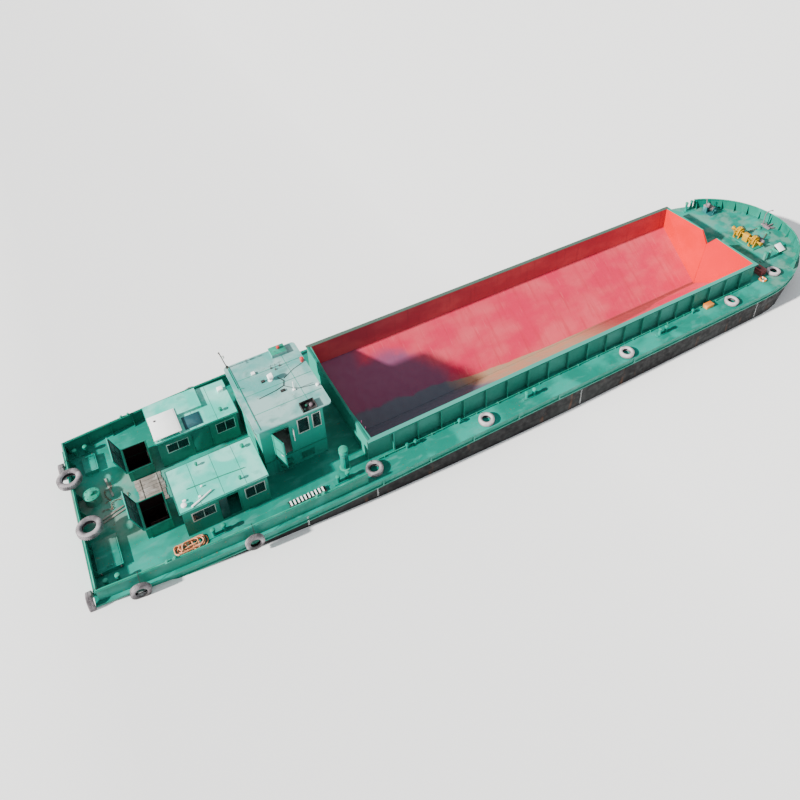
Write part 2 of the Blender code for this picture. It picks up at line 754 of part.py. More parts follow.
def make_houses():
    base = DEPTH + SEAM
    for name, side in (("house_port", 1), ("house_starboard", -1)):
        x0 = HOLD_AFT_X - HOUSE_AFT
        x1 = x0 + HOUSE_LENGTH
        ends = (side * HOUSE_INNER, side * (HOUSE_INNER + HOUSE_WIDTH))
        y0, y1 = min(ends), max(ends)
        top = DEPTH + HOUSE_HEIGHT
        e, w = HOUSE_EAVES, HOUSE_WALL
        walls = block((x0 + e, y0 + e, base), (x1 - e, y1 - e, top - HOUSE_ROOF / 2))
        roof = block((x0, y0, top - HOUSE_ROOF), (x1, y1, top))
        inside = block((x0 + e + w, y0 + e + w, base - 0.1), (x1 - e - w, y1 - e - w, top - HOUSE_ROOF))
        starboard_wall, port_wall = y0 + e + w / 2, y1 - e - w / 2
        openings = []
        for wall in (starboard_wall, port_wall):
            for along, length, sill, head in HOUSE_WINDOWS:
                openings.append(("y", wall, x0 + along, x0 + along + length, DEPTH + sill, DEPTH + head))
        openings.append(("y", starboard_wall, x0 + HOUSE_DOOR_ALONG, x0 + HOUSE_DOOR_ALONG + HOUSE_DOOR_WIDTH,
                         DEPTH + HOUSE_DOOR_SILL, DEPTH + HOUSE_DOOR_HEAD))
        box_x, box_y = x0 + HOUSE_BOX_INSET, y1 - HOUSE_BOX_INSET
        raised = [block((box_x, box_y - HOUSE_BOX_WIDTH, top - 0.01),
                        (box_x + HOUSE_BOX_LENGTH, box_y, top + HOUSE_BOX_HEIGHT))]
        joined = [roof] + (raised if side == 1 else [])
        solid(name, walls, "deck_green", joined=joined, cut=[inside] + window_cutters(openings, w))


# Wheelhouse

def wheelhouse_walls():
    """Outer faces: aft x, fore x, half width."""
    aft = HOLD_AFT_X - WHEELHOUSE_AFT
    return aft, aft + WHEELHOUSE_LENGTH, WHEELHOUSE_HALF_WIDTH


def make_wheelhouse():
    aft, fwd, half = wheelhouse_walls()
    floor = DEPTH + WHEELHOUSE_FLOOR
    under_roof = DEPTH + WHEELHOUSE_TOP - WHEELHOUSE_ROOF
    add("wheelhouse_base", block((aft, -half, DEPTH + SEAM), (fwd, half, floor)), "deck_green")
    w = WHEELHOUSE_WALL
    walls = block((aft, -half, floor + SEAM), (fwd, half, under_roof - SEAM))
    inside = block((aft + w, -half + w, floor - 0.1), (fwd - w, half - w, under_roof + 0.1))
    door = HOLD_AFT_X - DOOR_AFT
    sill = floor + DOOR_SILL
    low, high = floor + WINDOW_SILL, floor + WINDOW_HEAD
    openings = [
        ("y", -half + w / 2, door, door + DOOR_WIDTH, sill, sill + DOOR_HEIGHT),
        ("y", -half + w / 2, fwd - 0.69, fwd - 0.42, low, high),
        ("y", -half + w / 2, fwd - 0.29, fwd - 0.10, low, high),
        ("y", half - w / 2, aft + 0.16, aft + 0.72, low, high),
        ("y", half - w / 2, fwd - 0.72, fwd - 0.16, low, high),
        ("x", aft + w / 2, -0.80, -0.15, low, high),
        ("x", aft + w / 2, 0.15, 0.80, low, high),
        ("x", fwd - w / 2, -1.02, -0.40, low, high),
        ("x", fwd - w / 2, -0.31, 0.31, low, high),
        ("x", fwd - w / 2, 0.40, 1.02, low, high),
    ]
    solid("wheelhouse_walls", walls, "deck_green", cut=[inside] + window_cutters(openings, w))
    x0, x1 = aft - ROOF_AFT_OVERHANG, fwd + ROOF_FWD_OVERHANG
    y1 = half + ROOF_SIDE_OVERHANG
    outline = []
    for cx, cy, first in ((x1, y1, 0), (x0, y1, 90), (x0, -y1, 180), (x1, -y1, 270)):
        mid = Vector((cx - math.copysign(ROOF_CORNER, cx - (x0 + x1) / 2), cy - math.copysign(ROOF_CORNER, cy)))
        for step in range(4):
            angle = math.radians(first + 30 * step)
            outline.append((mid.x + ROOF_CORNER * math.cos(angle), mid.y + ROOF_CORNER * math.sin(angle)))
    top = DEPTH + WHEELHOUSE_TOP
    box_x, box_y = x0 + ROOF_BOX_FORWARD, y1 - ROOF_BOX_INSET
    locker = block((box_x, box_y - ROOF_BOX_WIDTH, top - 0.01),
                   (box_x + ROOF_BOX_LENGTH, box_y, top + ROOF_BOX_HEIGHT))
    solid("wheelhouse_roof", prism_z(outline, under_roof, top), "roof_green", joined=[locker])


def make_mast():
    """A slim pole on the wheelhouse roof's aft port corner, leaning aft."""
    foot = Vector((HOLD_AFT_X - MAST_AFT, MAST_Y, DEPTH + WHEELHOUSE_TOP + SEAM))
    head = foot + Vector((-MAST_LEAN, 0.0, MAST_HEIGHT))
    base = cylinder(foot, foot + Vector((0, 0, 0.02)), MAST_RADIUS * 2.5, 12)
    middle = foot.lerp(head, MAST_CROSSBAR_SHARE)
    arm = Vector((0, MAST_CROSSBAR_REACH, 0))
    crossbar = cylinder(middle - arm, middle + arm, MAST_RADIUS * 0.7, 8)
    pole = cylinder(foot + Vector((0, 0, 0.01)), head, MAST_RADIUS, 12)
    solid("mast", pole, "dark_steel", joined=[base, crossbar])


def make_wheelhouse_door():
    """A leaf hinged on its aft edge outside the starboard wall, standing open."""
    _, _, half = wheelhouse_walls()
    radius = DOOR_HINGE_RADIUS
    hinge = Vector((HOLD_AFT_X - DOOR_AFT, -half - radius - SEAM, 0.0))
    low = DEPTH + WHEELHOUSE_FLOOR + DOOR_SILL + 0.01
    high = low + DOOR_HEIGHT - 0.02
    leaf = block((hinge.x, hinge.y - DOOR_LEAF / 2, low), (hinge.x + DOOR_WIDTH, hinge.y + DOOR_LEAF / 2, high))
    barrel = cylinder((hinge.x, hinge.y, low), (hinge.x, hinge.y, high), radius, 12)
    item = solid("wheelhouse_door", leaf, "deck_green", joined=[barrel])
    turn = (Matrix.Translation(hinge) @ Matrix.Rotation(math.radians(-DOOR_OPEN_DEG), 4, "Z")
            @ Matrix.Translation(-hinge))
    item.data.transform(Matrix.Translation(-hinge) @ turn)
    item.location = hinge


# Engine-room companions

def companion_box(side):
    """Outer corners of a companion's coaming in plan."""
    aft = HOLD_AFT_X - COMPANION_AFT
    ends = (side * COMPANION_INNER, side * (COMPANION_INNER + COMPANION_WIDTH))
    return aft, aft + COMPANION_LENGTH, min(ends), max(ends)


def make_companions():
    top = DEPTH + COMPANION_HEIGHT
    for name, side in (("port", 1), ("starboard", -1)):
        x0, x1, y0, y1 = companion_box(side)
        w = COMPANION_WALL
        frame = block((x0, y0, DEPTH + SEAM), (x1, y1, top))
        inside = block((x0 + w, y0 + w, DEPTH - 0.1), (x1 - w, y1 - w, top + 0.1))
        solid("companion_coaming_" + name, frame, "deck_green", cut=[inside])
        hinge = Vector((x0 - LID_HINGE_RADIUS - SEAM, 0.0, top))
        under = top + MOVING_GAP
        leaf = block((hinge.x, y0, under), (x1, y1, under + LID_THICKNESS))
        barrel = cylinder((hinge.x, y0, hinge.z), (hinge.x, y1, hinge.z), LID_HINGE_RADIUS, 12)
        lid = solid("companion_lid_" + name, leaf, "deck_green", joined=[barrel])
        turn = Matrix.Rotation(math.radians(-LID_OPEN_DEG), 4, "Y")
        lid.data.transform(turn @ Matrix.Translation(-hinge))
        lid.location = hinge
        aft = x0 + w + 0.10
        middle = (y0 + y1) / 2
        bottom = DEPTH - WELL_DEPTH + SEAM
        add("engine_" + name, block((aft, middle - ENGINE_WIDTH / 2, bottom),
                                    (aft + ENGINE_LENGTH, middle + ENGINE_WIDTH / 2, bottom + ENGINE_HEIGHT)),
            "engine_grey")


def stern_hatch_plan(name):
    """Low and high plan corners of a hatch trunk by the transom."""
    length, y0, y1 = STERN_HATCHES[name]
    fwd = HOLD_AFT_X - STERN_HATCH_FWD
    return (fwd - length, y0), (fwd, y1)


def make_stern_hatch_lids():
    """Each lid is hinged along its inboard edge."""
    for name in STERN_HATCHES:
        low, high = stern_hatch_plan(name)
        z = DEPTH + STERN_HATCH_RISE + SEAM
        lid = block((low[0], low[1], z), (high[0], high[1], z + LID_THICKNESS))
        inboard = min(low[1], high[1], key=abs)
        add("stern_hatch_lid_" + name, lid, "deck_green",
            origin=((low[0] + high[0]) / 2, inboard, z + LID_THICKNESS / 2))


# Running gear

def make_propellers():
    for name, side in (("port", 1), ("starboard", -1)):
        centre = Vector((HOLD_AFT_X - PROPELLER_AFT, side * SHAFT_OFFSET, PROPELLER_HEIGHT))
        half = Vector((HUB_LENGTH / 2, 0, 0))
        hub = cylinder(centre + half, centre - half, HUB_RADIUS, 16, HUB_RADIUS * 0.6)
        blades = []
        for i in range(PROPELLER_BLADES):
            blade = loft([[(-0.03, -0.010, 0.02), (-0.03, 0.002, 0.02),
                           (0.03, 0.010, 0.02), (0.03, -0.002, 0.02)],
                          [(-0.05, -0.075, 0.16), (-0.05, -0.062, 0.16),
                           (0.05, 0.075, 0.16), (0.05, 0.062, 0.16)],
                          [(-0.02, -0.055, PROPELLER_RADIUS), (-0.02, -0.045, PROPELLER_RADIUS),
                           (0.02, 0.055, PROPELLER_RADIUS), (0.02, 0.045, PROPELLER_RADIUS)]])
            spin = Matrix.Rotation(2 * math.pi * i / PROPELLER_BLADES, 4, "X")
            bmesh.ops.transform(blade, matrix=Matrix.Translation(centre) @ spin, verts=blade.verts)
            blades.append(blade)
        item = solid("propeller_" + name, hub, "bronze", joined=blades)
        item.data.transform(Matrix.Translation(-centre))
        item.location = centre


def make_rudders():
    for name, side in (("port", 1), ("starboard", -1)):
        stock = Vector((HOLD_AFT_X - RUDDER_AFT, side * SHAFT_OFFSET, 0.0))
        nose, tail = RUDDER_BALANCE, RUDDER_BALANCE - RUDDER_CHORD
        half = RUDDER_THICKNESS / 2
        plan = [(nose, 0.0), (nose * 0.5, half), (-0.02, half), (tail, 0.006),
                (tail, -0.006), (-0.02, -half), (nose * 0.5, -half)]
        blade = prism_z([(stock.x + x, stock.y + y) for x, y in plan], RUDDER_BOTTOM, RUDDER_TOP)
        top = stern_bottom(stock.x + RUDDER_STOCK_RADIUS) - SEAM
        post = cylinder((stock.x, stock.y, RUDDER_TOP - 0.05), (stock.x, stock.y, top), RUDDER_STOCK_RADIUS, 12)
        item = solid("rudder_" + name, blade, "hull_black", joined=[post])
        item.data.transform(Matrix.Translation(-stock))
        item.location = stock


# Deck gear

def tyre_profile(radius, width, hole):
    """A rounded section between the hole and the tread."""
    middle, depth = (radius + hole) / 2, (radius - hole) / 2
    sides = TYRE_SECTION_SIDES
    angles = [2 * math.pi * (i + 0.5) / sides for i in range(sides)]
    reach = math.cos(math.pi / sides)
    return [(middle + depth * math.cos(a) / reach, width / 2 * math.sin(a) / reach) for a in angles]


TYRES = [
    # name, what it rests on, along from the hold's aft end, across, radius, width
    ("tyre_starboard_1", "side", -5.98, -1, 0.23, 0.14),
    ("tyre_starboard_2", "side", -3.37, -1, 0.23, 0.14),
    ("tyre_starboard_3", "deck", -0.02, -SIDE_DECK_MIDDLE - 0.03, 0.23, 0.14),
    ("tyre_starboard_4", "deck", 3.36, -SIDE_DECK_MIDDLE - 0.15, 0.22, 0.14),
    ("tyre_starboard_5", "deck", 8.45, -SIDE_DECK_MIDDLE - 0.15, 0.22, 0.14),
    ("tyre_starboard_6", "deck", 13.02, -SIDE_DECK_MIDDLE - 0.11, 0.22, 0.14),
    ("tyre_starboard_7", "deck", 15.48, 0.60 - HALF_BEAM, 0.22, 0.14),
    ("tyre_port_1", "side", -3.37, 1, 0.23, 0.14),
    ("tyre_port_2", "deck", 3.36, SIDE_DECK_MIDDLE + 0.15, 0.22, 0.14),
    ("tyre_port_3", "deck", 13.02, SIDE_DECK_MIDDLE + 0.11, 0.22, 0.14),
    ("tyre_transom_port", "transom", 0.0, TRANSOM_HALF_BEAM - 0.68, 0.23, 0.15),
    ("tyre_transom_starboard", "transom", 0.0, 0.13 - TRANSOM_HALF_BEAM, 0.23, 0.15),
    ("tyre_rail_port", "rail", -6.83, 0.97, 0.30, 0.18),
    ("tyre_rail_starboard", "rail", -6.64, -0.72, 0.30, 0.18),
]


def tyre_seat(rests_on, along, across, width):
    """Centre and axis of a tyre that lies on the deck or rail, or hangs on the side or transom."""
    x = HOLD_AFT_X + along
    clear = width / 2 + SEAM
    if rests_on == "deck":
        return (x, across, DEPTH + clear), (0, 0, 1)
    if rests_on == "rail":
        return (x, across, DEPTH + BULWARK_HEIGHT + clear), (0, 0, 1)
    if rests_on == "transom":
        return (STERN_X - LEDGE_REACH - clear, across, DEPTH), (1, 0, 0)
    step = 0.001
    slope = (half_breadth(x + step) - half_breadth(x - step)) / (2 * step)
    normal = Vector((-slope, 1, 0)).normalized()
    edge = Vector((x, half_breadth(x), DEPTH)) + normal * (LEDGE_REACH + clear)
    return (edge.x, across * edge.y, edge.z), (normal.x, across * normal.y, 0)


def make_tyres():
    for name, rests_on, along, across, radius, width in TYRES:
        centre, axis = tyre_seat(rests_on, along, across, width)
        profile = tyre_profile(radius, width, radius * TYRE_HOLE)
        add(name, turned(profile, centre, axis, TYRE_SEGMENTS), "tyre_rubber", smooth=True)


def make_windlass():
    """Two chain wheels on one shaft, each between a pair of cheeks."""
    x = HOLD_AFT_X + WINDLASS_AFT
    axle_z = DEPTH + WINDLASS_AXLE_HEIGHT
    y0, y1 = WINDLASS_Y - WINDLASS_SPAN / 2, WINDLASS_Y + WINDLASS_SPAN / 2
    base = DEPTH + SEAM
    bed = block((x - 0.24, y0 - 0.05, base), (x + 0.40, y1 + 0.05, base + 0.04))
    wheels_y = (WINDLASS_Y - WINDLASS_SPAN / 3, WINDLASS_Y + WINDLASS_SPAN / 3)
    fixed = []
    turning = []
    for y in wheels_y:
        for end in (-1, 1):
            middle = y + end * (CHAIN_WHEEL_WIDTH / 2 + WINDLASS_CHEEK / 2 + CHEEK_GAP)
            outline = [(x - 0.18, base + 0.02), (x + 0.18, base + 0.02),
                       (x + 0.07, axle_z + 0.09), (x - 0.07, axle_z + 0.09)]
            fixed.append(prism_y(outline, middle - WINDLASS_CHEEK / 2, middle + WINDLASS_CHEEK / 2))
        half, rim = CHAIN_WHEEL_WIDTH / 2, CHAIN_WHEEL_RADIUS
        profile = [(-half, rim), (-half / 2, rim), (0.0, rim * 0.8), (half / 2, rim), (half, rim)]
        turning.append(spool((x, y, axle_z), profile))
    fixed.append(cylinder((x + 0.30, y0, base + 0.14), (x + 0.30, y0 + 0.36, base + 0.14), 0.075, 14))
    fixed.append(block((x + 0.25, y0 + 0.08, base + 0.02), (x + 0.35, y0 + 0.28, base + 0.10)))
    hole = cylinder((x, y0 - 0.2, axle_z), (x, y1 + 0.2, axle_z), WINDLASS_AXLE_RADIUS + AXLE_CLEARANCE, 32)
    solid("windlass_frame", bed, "yellow_paint", joined=fixed, cut=[hole])
    axle = cylinder((x, y0 - 0.06, axle_z), (x, y1 + 0.06, axle_z), WINDLASS_AXLE_RADIUS, 32)
    for y, out in ((y0 - 0.14, -1), (y1 + 0.14, 1)):
        turning.append(cylinder((x, y, axle_z), (x, y - out * 0.09, axle_z), 0.08, 16, 0.055))
    item = solid("windlass_shaft", axle, "yellow_paint", joined=turning)
    centre = Vector((x, WINDLASS_Y, axle_z))
    item.data.transform(Matrix.Translation(-centre))
    item.location = centre


def make_winch():
    """A mooring winch on the port side of the fore deck, its drum on an axle between two cheeks."""
    x, axle_z, base = HOLD_AFT_X + WINCH_FWD, DEPTH + WINCH_AXLE_HEIGHT, DEPTH + SEAM
    y0, y1 = WINCH_Y - WINCH_SPAN / 2, WINCH_Y + WINCH_SPAN / 2
    bed = block((x - 0.27, y0 - 0.03, base), (x + 0.17, y1 + 0.03, base + 0.02))
    fixed = []
    for y in (y0, y1):
        outline = [(x - 0.13, base + 0.01), (x + 0.13, base + 0.01),
                   (x + 0.05, axle_z + 0.06), (x - 0.05, axle_z + 0.06)]
        fixed.append(prism_y(outline, y - WINCH_CHEEK / 2, y + WINCH_CHEEK / 2))
    fixed.append(block((x - 0.26, y1 - 0.16, base + 0.01), (x - 0.16, y1 + 0.02, axle_z + 0.10)))
    hole = cylinder((x, y0 - 0.1, axle_z), (x, y1 + 0.1, axle_z), WINCH_AXLE_RADIUS + AXLE_CLEARANCE, 32)
    solid("winch_frame", bed, "deck_green", joined=fixed, cut=[hole])
    axle = cylinder((x, y0 - 0.04, axle_z), (x, y1 + 0.04, axle_z), WINCH_AXLE_RADIUS, 32)
    reach = WINCH_SPAN / 2 - WINCH_CHEEK / 2 - CHEEK_GAP
    low, high, thick = WINCH_DRUM_RADIUS, WINCH_FLANGE_RADIUS, WINCH_FLANGE
    profile = [(-reach, high), (-reach + thick, high), (-reach + thick, low),
               (reach - thick, low), (reach - thick, high), (reach, high)]
    item = solid("winch_drum", axle, "coaming_green", joined=[spool((x, WINCH_Y, axle_z), profile, 20)])
    centre = Vector((x, WINCH_Y, axle_z))
    item.data.transform(Matrix.Translation(-centre))
    item.location = centre


def make_anchor():
    """A stockless anchor laid on the fore deck with its shank towards the stem."""
    x, y, z = HOLD_AFT_X + ANCHOR_FWD, ANCHOR_Y, DEPTH + SEAM
    crown = block((x - 0.06, y - 0.13, z), (x + 0.02, y + 0.13, z + 0.08))
    parts = [block((x - 0.02, y - 0.02, z + 0.02), (x + 0.32, y + 0.02, z + 0.07))]
    for side in (-1, 1):
        edge = y + side * 0.13
        tip = y + side * 0.19
        outline = [(x - 0.04, edge - side * 0.08), (x - 0.04, edge),
                   (x + 0.20, tip), (x + 0.12, edge - side * 0.06)]
        parts.append(prism_z(outline, z + 0.01, z + 0.06))
    solid("anchor", crown, "dark_steel", joined=parts)


def make_rope_pile():
    """The outer shape of a mooring rope laid down in long turns."""
    x, half = HOLD_AFT_X + ROPE_FWD, ROPE_WIDTH / 2
    straight = ROPE_LENGTH / 2 - half
    outline = []
    for centre, first in ((x + straight, -90), (x - straight, 90)):
        for step in range(9):
            angle = math.radians(first + 22.5 * step)
            outline.append((centre + half * math.cos(angle), ROPE_Y + half * math.sin(angle)))
    base = DEPTH + SEAM
    add("rope_pile", prism_z(outline, base, base + ROPE_HEIGHT), "orange_rope")


def make_deck_box():
    length, width, height = BOX_SIZE
    x, base = HOLD_AFT_X + BOX_FWD, DEPTH + SEAM
    body = block((x - length / 2, BOX_Y - width / 2, base), (x + length / 2, BOX_Y + width / 2, base + height))
    lid = block((x - length / 2 - 0.01, BOX_Y - width / 2 - 0.01, base + height - 0.01),
                (x + length / 2 + 0.01, BOX_Y + width / 2 + 0.01, base + height + 0.015))
    solid("deck_box", body, "box_red", joined=[lid])


def main():
    clear_scene()
    make_hull_stern()
    make_hull_mid()
    make_hull_bow()
    make_deck_stern()
    make_side_decks()
    make_deck_bow()
    make_coamings()
    make_hopper_slopes()
    make_bulkheads()
    make_bulwarks()
    make_houses()
    make_wheelhouse()
    make_wheelhouse_door()
    make_mast()
    make_companions()
    make_stern_hatch_lids()
    make_propellers()
    make_rudders()
    make_windlass()
    make_winch()
    make_anchor()
    make_deck_box()
    make_rope_pile()
    make_tyres()


main()
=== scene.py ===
"""River barge: the looks of a self-propelled inland hopper barge at half its real size.

Metres, +X towards the bow, +Y to port, +Z up. Every place is the model's own, and most are given
forward of the hold's aft end, off the centreline and above the deck.
"""

import math
import random

import bmesh
import bpy
from bpy.props import FloatProperty, FloatVectorProperty, PointerProperty
from mathutils import Matrix, Vector


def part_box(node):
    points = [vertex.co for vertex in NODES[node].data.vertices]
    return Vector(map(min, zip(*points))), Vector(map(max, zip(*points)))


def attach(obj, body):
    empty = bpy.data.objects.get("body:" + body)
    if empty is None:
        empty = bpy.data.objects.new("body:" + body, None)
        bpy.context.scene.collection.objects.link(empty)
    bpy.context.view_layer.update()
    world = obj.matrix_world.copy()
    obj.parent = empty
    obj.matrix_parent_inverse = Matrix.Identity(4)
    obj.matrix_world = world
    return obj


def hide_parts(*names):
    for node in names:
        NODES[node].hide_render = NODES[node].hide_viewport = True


bl_info = {
    "name": "River Barge Looks",
    "version": (1, 0, 0),
    "blender": (4, 5, 0),
    "location": "View3D > Sidebar > Barge",
    "description": "Builds the finishes, fittings, light and camera of a river barge around its frame",
    "category": "Add Mesh",
}

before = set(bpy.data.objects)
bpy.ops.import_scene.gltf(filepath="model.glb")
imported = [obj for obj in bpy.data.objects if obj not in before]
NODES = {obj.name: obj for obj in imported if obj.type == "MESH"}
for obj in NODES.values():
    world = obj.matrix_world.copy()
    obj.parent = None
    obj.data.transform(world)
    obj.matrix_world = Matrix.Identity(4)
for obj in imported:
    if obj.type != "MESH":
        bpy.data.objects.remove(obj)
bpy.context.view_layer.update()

# Places read from the frame
HOLD_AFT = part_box("hull_mid_port")[0][0]
HOLD_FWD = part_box("hull_mid_port")[1][0]
HALF_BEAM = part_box("hull_mid_port")[1][1]
STERN_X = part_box("hull_stern")[0][0]
BOW_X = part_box("hull_bow")[1][0]
DECK = round(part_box("house_port")[0][2], 3)
COAMING_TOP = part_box("coaming_port")[1][2]
HOLD_HALF = 2.0
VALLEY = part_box("hopper_slope_port")[0][2] + 0.036
STERN_LENGTH = HOLD_AFT - STERN_X
TRANSOM_HALF = 2.41
STERN_FRAMES = 6
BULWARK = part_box("bulwark_stern")[1][2] - DECK
BULWARK_INSET = 0.06
BOW_EXPONENT = 2.1
SIDES = (("port", 1), ("starboard", -1))


def at(x, y, z=0.0):
    """A point given forward of the hold's aft end, off the centreline and above the deck."""
    return Vector((HOLD_AFT + x, y, DECK + z))


def corners(node):
    """The low and the high corner of a node's box."""
    return (Vector(corner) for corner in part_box(node))


def half_breadth(x):
    """Half the deck's breadth aft of the hold, x forward of the hold's aft end."""
    along = max(0.0, -x / STERN_LENGTH * STERN_FRAMES)
    step = min(int(along), STERN_FRAMES - 1)
    taper = HALF_BEAM - TRANSOM_HALF
    near = HALF_BEAM - taper * (step / STERN_FRAMES) ** 2
    far = HALF_BEAM - taper * ((step + 1) / STERN_FRAMES) ** 2
    return near + (far - near) * (along - step)


def bow_half_breadth(x, inset=0.0):
    """Half the deck's breadth forward of the hold, x forward of the hold's aft end."""
    length = BOW_X - HOLD_FWD - inset
    share = min(1.0, max(0.0, (HOLD_AFT + x - HOLD_FWD) / length))
    return (HALF_BEAM - inset) * (1 - share ** BOW_EXPONENT) ** (1 / BOW_EXPONENT)


# Node materials

class Finish:
    """One procedural material: each method adds nodes and returns the socket that goes on."""

    def __init__(self, name, roughness=0.5, metallic=0.0, specular=0.5):
        self.material = bpy.data.materials.new(name)
        self.material.use_nodes = True
        self.tree = self.material.node_tree
        self.shader = self.tree.nodes["Principled BSDF"]
        self.shader.inputs["Roughness"].default_value = roughness
        self.shader.inputs["Metallic"].default_value = metallic
        self.shader.inputs["Specular IOR Level"].default_value = specular
        self.place = self.tree.nodes.new("ShaderNodeTexCoord").outputs["Object"]
        parts = self.node("ShaderNodeSeparateXYZ", Vector=self.place)
        self.x, self.y, self.z = parts.outputs

    def node(self, kind, **inputs):
        made = self.tree.nodes.new(kind)
        for key, value in inputs.items():
            self.put(made.inputs[key.replace("_", " ")], value)
        return made

    def put(self, socket, value):
        if isinstance(value, bpy.types.NodeSocket):
            self.tree.links.new(value, socket)
        elif socket.type == "RGBA" and len(value) == 3:
            socket.default_value = (*value, 1.0)
        else:
            socket.default_value = value

    def noise(self, scale, detail=3.0, stretch=(1.0, 1.0, 1.0), offset=(0.0, 0.0, 0.0), distortion=0.0):
        mapping = self.node("ShaderNodeMapping", Vector=self.place, Scale=stretch, Location=offset)
        made = self.node("ShaderNodeTexNoise", Vector=mapping.outputs[0], Scale=scale, Detail=detail,
                         Distortion=distortion)
        return made.outputs["Fac"]

    def patch(self, low, high, scale, detail=3.0, **rest):
        """Soft patches: noise that goes from 0 to 1 between two of its values."""
        return self.span(self.noise(scale, detail, **rest), low, high)

    def tint(self, share, strength, colour, tone):
        """A tone laid over a colour, by a share of up to some strength."""
        return self.mix(self.sum("MULTIPLY", share, strength), colour, tone)

    def span(self, value, low, high, start=0.0, end=1.0):
        made = self.node("ShaderNodeMapRange", From_Min=low, From_Max=high, To_Min=start, To_Max=end)
        made.interpolation_type = "SMOOTHSTEP"
        self.put(made.inputs["Value"], value)
        return made.outputs["Result"]

    def sum(self, kind, a, b=0.0):
        made = self.tree.nodes.new("ShaderNodeMath")
        made.operation = kind
        self.put(made.inputs[0], a)
        self.put(made.inputs[1], b)
        return made.outputs[0]

    def mix(self, share, a, b):
        made = self.tree.nodes.new("ShaderNodeMix")
        made.data_type = "RGBA"
        self.put(made.inputs["Factor"], share)
        colours = [socket for socket in made.inputs if socket.type == "RGBA"]
        self.put(colours[0], a)
        self.put(colours[1], b)
        return next(socket for socket in made.outputs if socket.type == "RGBA")

    def lines(self, value, pitch, width, offset=0.0):
        """1 on thin lines that repeat at a pitch along a coordinate, as plate seams do."""
        moved = self.sum("ADD", value, offset)
        folded = self.sum("PINGPONG", moved, pitch / 2)
        return self.span(folded, width, width * 0.3)

    def colour(self, socket):
        self.put(self.shader.inputs["Base Color"], socket)

    def rough(self, socket):
        self.put(self.shader.inputs["Roughness"], socket)

    def bump(self, height, distance, strength=0.6):
        made = self.node("ShaderNodeBump", Height=height, Distance=distance, Strength=strength)
        self.put(self.shader.inputs["Normal"], made.outputs[0])


def worn_paint(name, paint, faded, dirt, rust=(0.20, 0.085, 0.035), fade=0.5, soil=0.4, chips=0.06,
               scale=1.0, drips=0.0, roughness=0.55):
    """Paint that has faded in patches, gathered dirt and chipped to rust; drips run down walls."""
    f = Finish(name, roughness, specular=0.25)
    patches = f.patch(0.62 - 0.3 * fade, 0.78 - 0.2 * fade, 0.9 * scale, 5.0, distortion=0.6)
    colour = f.mix(patches, paint, faded)
    soiled = f.patch(0.66 - 0.25 * soil, 0.84 - 0.2 * soil, 2.3 * scale, 6.0, offset=(3.1, 1.7, 0.4))
    colour = f.tint(soiled, 0.75, colour, dirt)
    grain = f.noise(34 * scale, 3.0)
    colour = f.mix(f.span(grain, 0.3, 0.9, 0.0, 0.22), colour, faded)
    if drips:
        run = f.noise(9 * scale, 4.0, stretch=(1.0, 1.0, 0.06))
        colour = f.mix(f.span(run, 0.60, 0.80, 0.0, drips), colour, dirt)
    chipped = f.patch(0.74 - chips, 0.77 - chips, 21 * scale, 5.0, offset=(0.0, 2.2, 5.0))
    colour = f.mix(chipped, colour, rust)
    f.colour(colour)
    f.rough(f.span(f.noise(5 * scale, 4.0), 0.3, 0.7, roughness - 0.12, roughness + 0.16))
    f.bump(f.sum("SUBTRACT", grain, chipped), 0.004, 0.45)
    return f


GREEN = (0.006, 0.200, 0.140)
GREEN_DARK = (0.005, 0.085, 0.065)
GREEN_FADED = (0.030, 0.260, 0.195)
YELLOW = (0.420, 0.210, 0.001)
YELLOW_FADED = (0.520, 0.300, 0.010)
# Near-black that paints the shade inside the wells under the companions.
PAINTED_WELL_SHADE = (0.022, 0.010, 0.010)


def hull_finish():
    """Tarred plating with a mud line, scrapes along the fenders' height and rust at the seams."""
    f = Finish("hull_tar", 0.6, specular=0.12)
    colour = f.mix(f.patch(0.42, 0.68, 1.1, 5.0, stretch=(0.35, 1.0, 1.0)), (0.007, 0.007, 0.008),
                   (0.022, 0.024, 0.024))
    scrape = f.patch(0.60, 0.72, 7.0, 5.0, stretch=(0.10, 1.0, 2.2))
    colour = f.tint(scrape, 0.55, colour, (0.050, 0.050, 0.048))
    seams = f.sum("MAXIMUM", f.lines(f.x, 1.8, 0.012), f.lines(f.z, 0.56, 0.010, 0.12))
    rust = f.patch(0.60, 0.74, 4.5, 6.0, stretch=(1.0, 1.0, 0.25), offset=(2.0, 0.0, 1.0))
    colour = f.tint(rust, 0.5, colour, (0.130, 0.055, 0.028))
    mud = f.sum("MULTIPLY", f.span(f.z, 0.75, 0.25), f.patch(0.35, 0.65, 3.0, 5.0))
    colour = f.tint(mud, 0.55, colour, (0.085, 0.080, 0.060))
    f.colour(colour)
    f.rough(f.span(f.noise(6.0), 0.3, 0.7, 0.45, 0.75))
    f.bump(f.sum("SUBTRACT", f.noise(16.0, 4.0), seams), 0.006, 0.4)
    return f.material


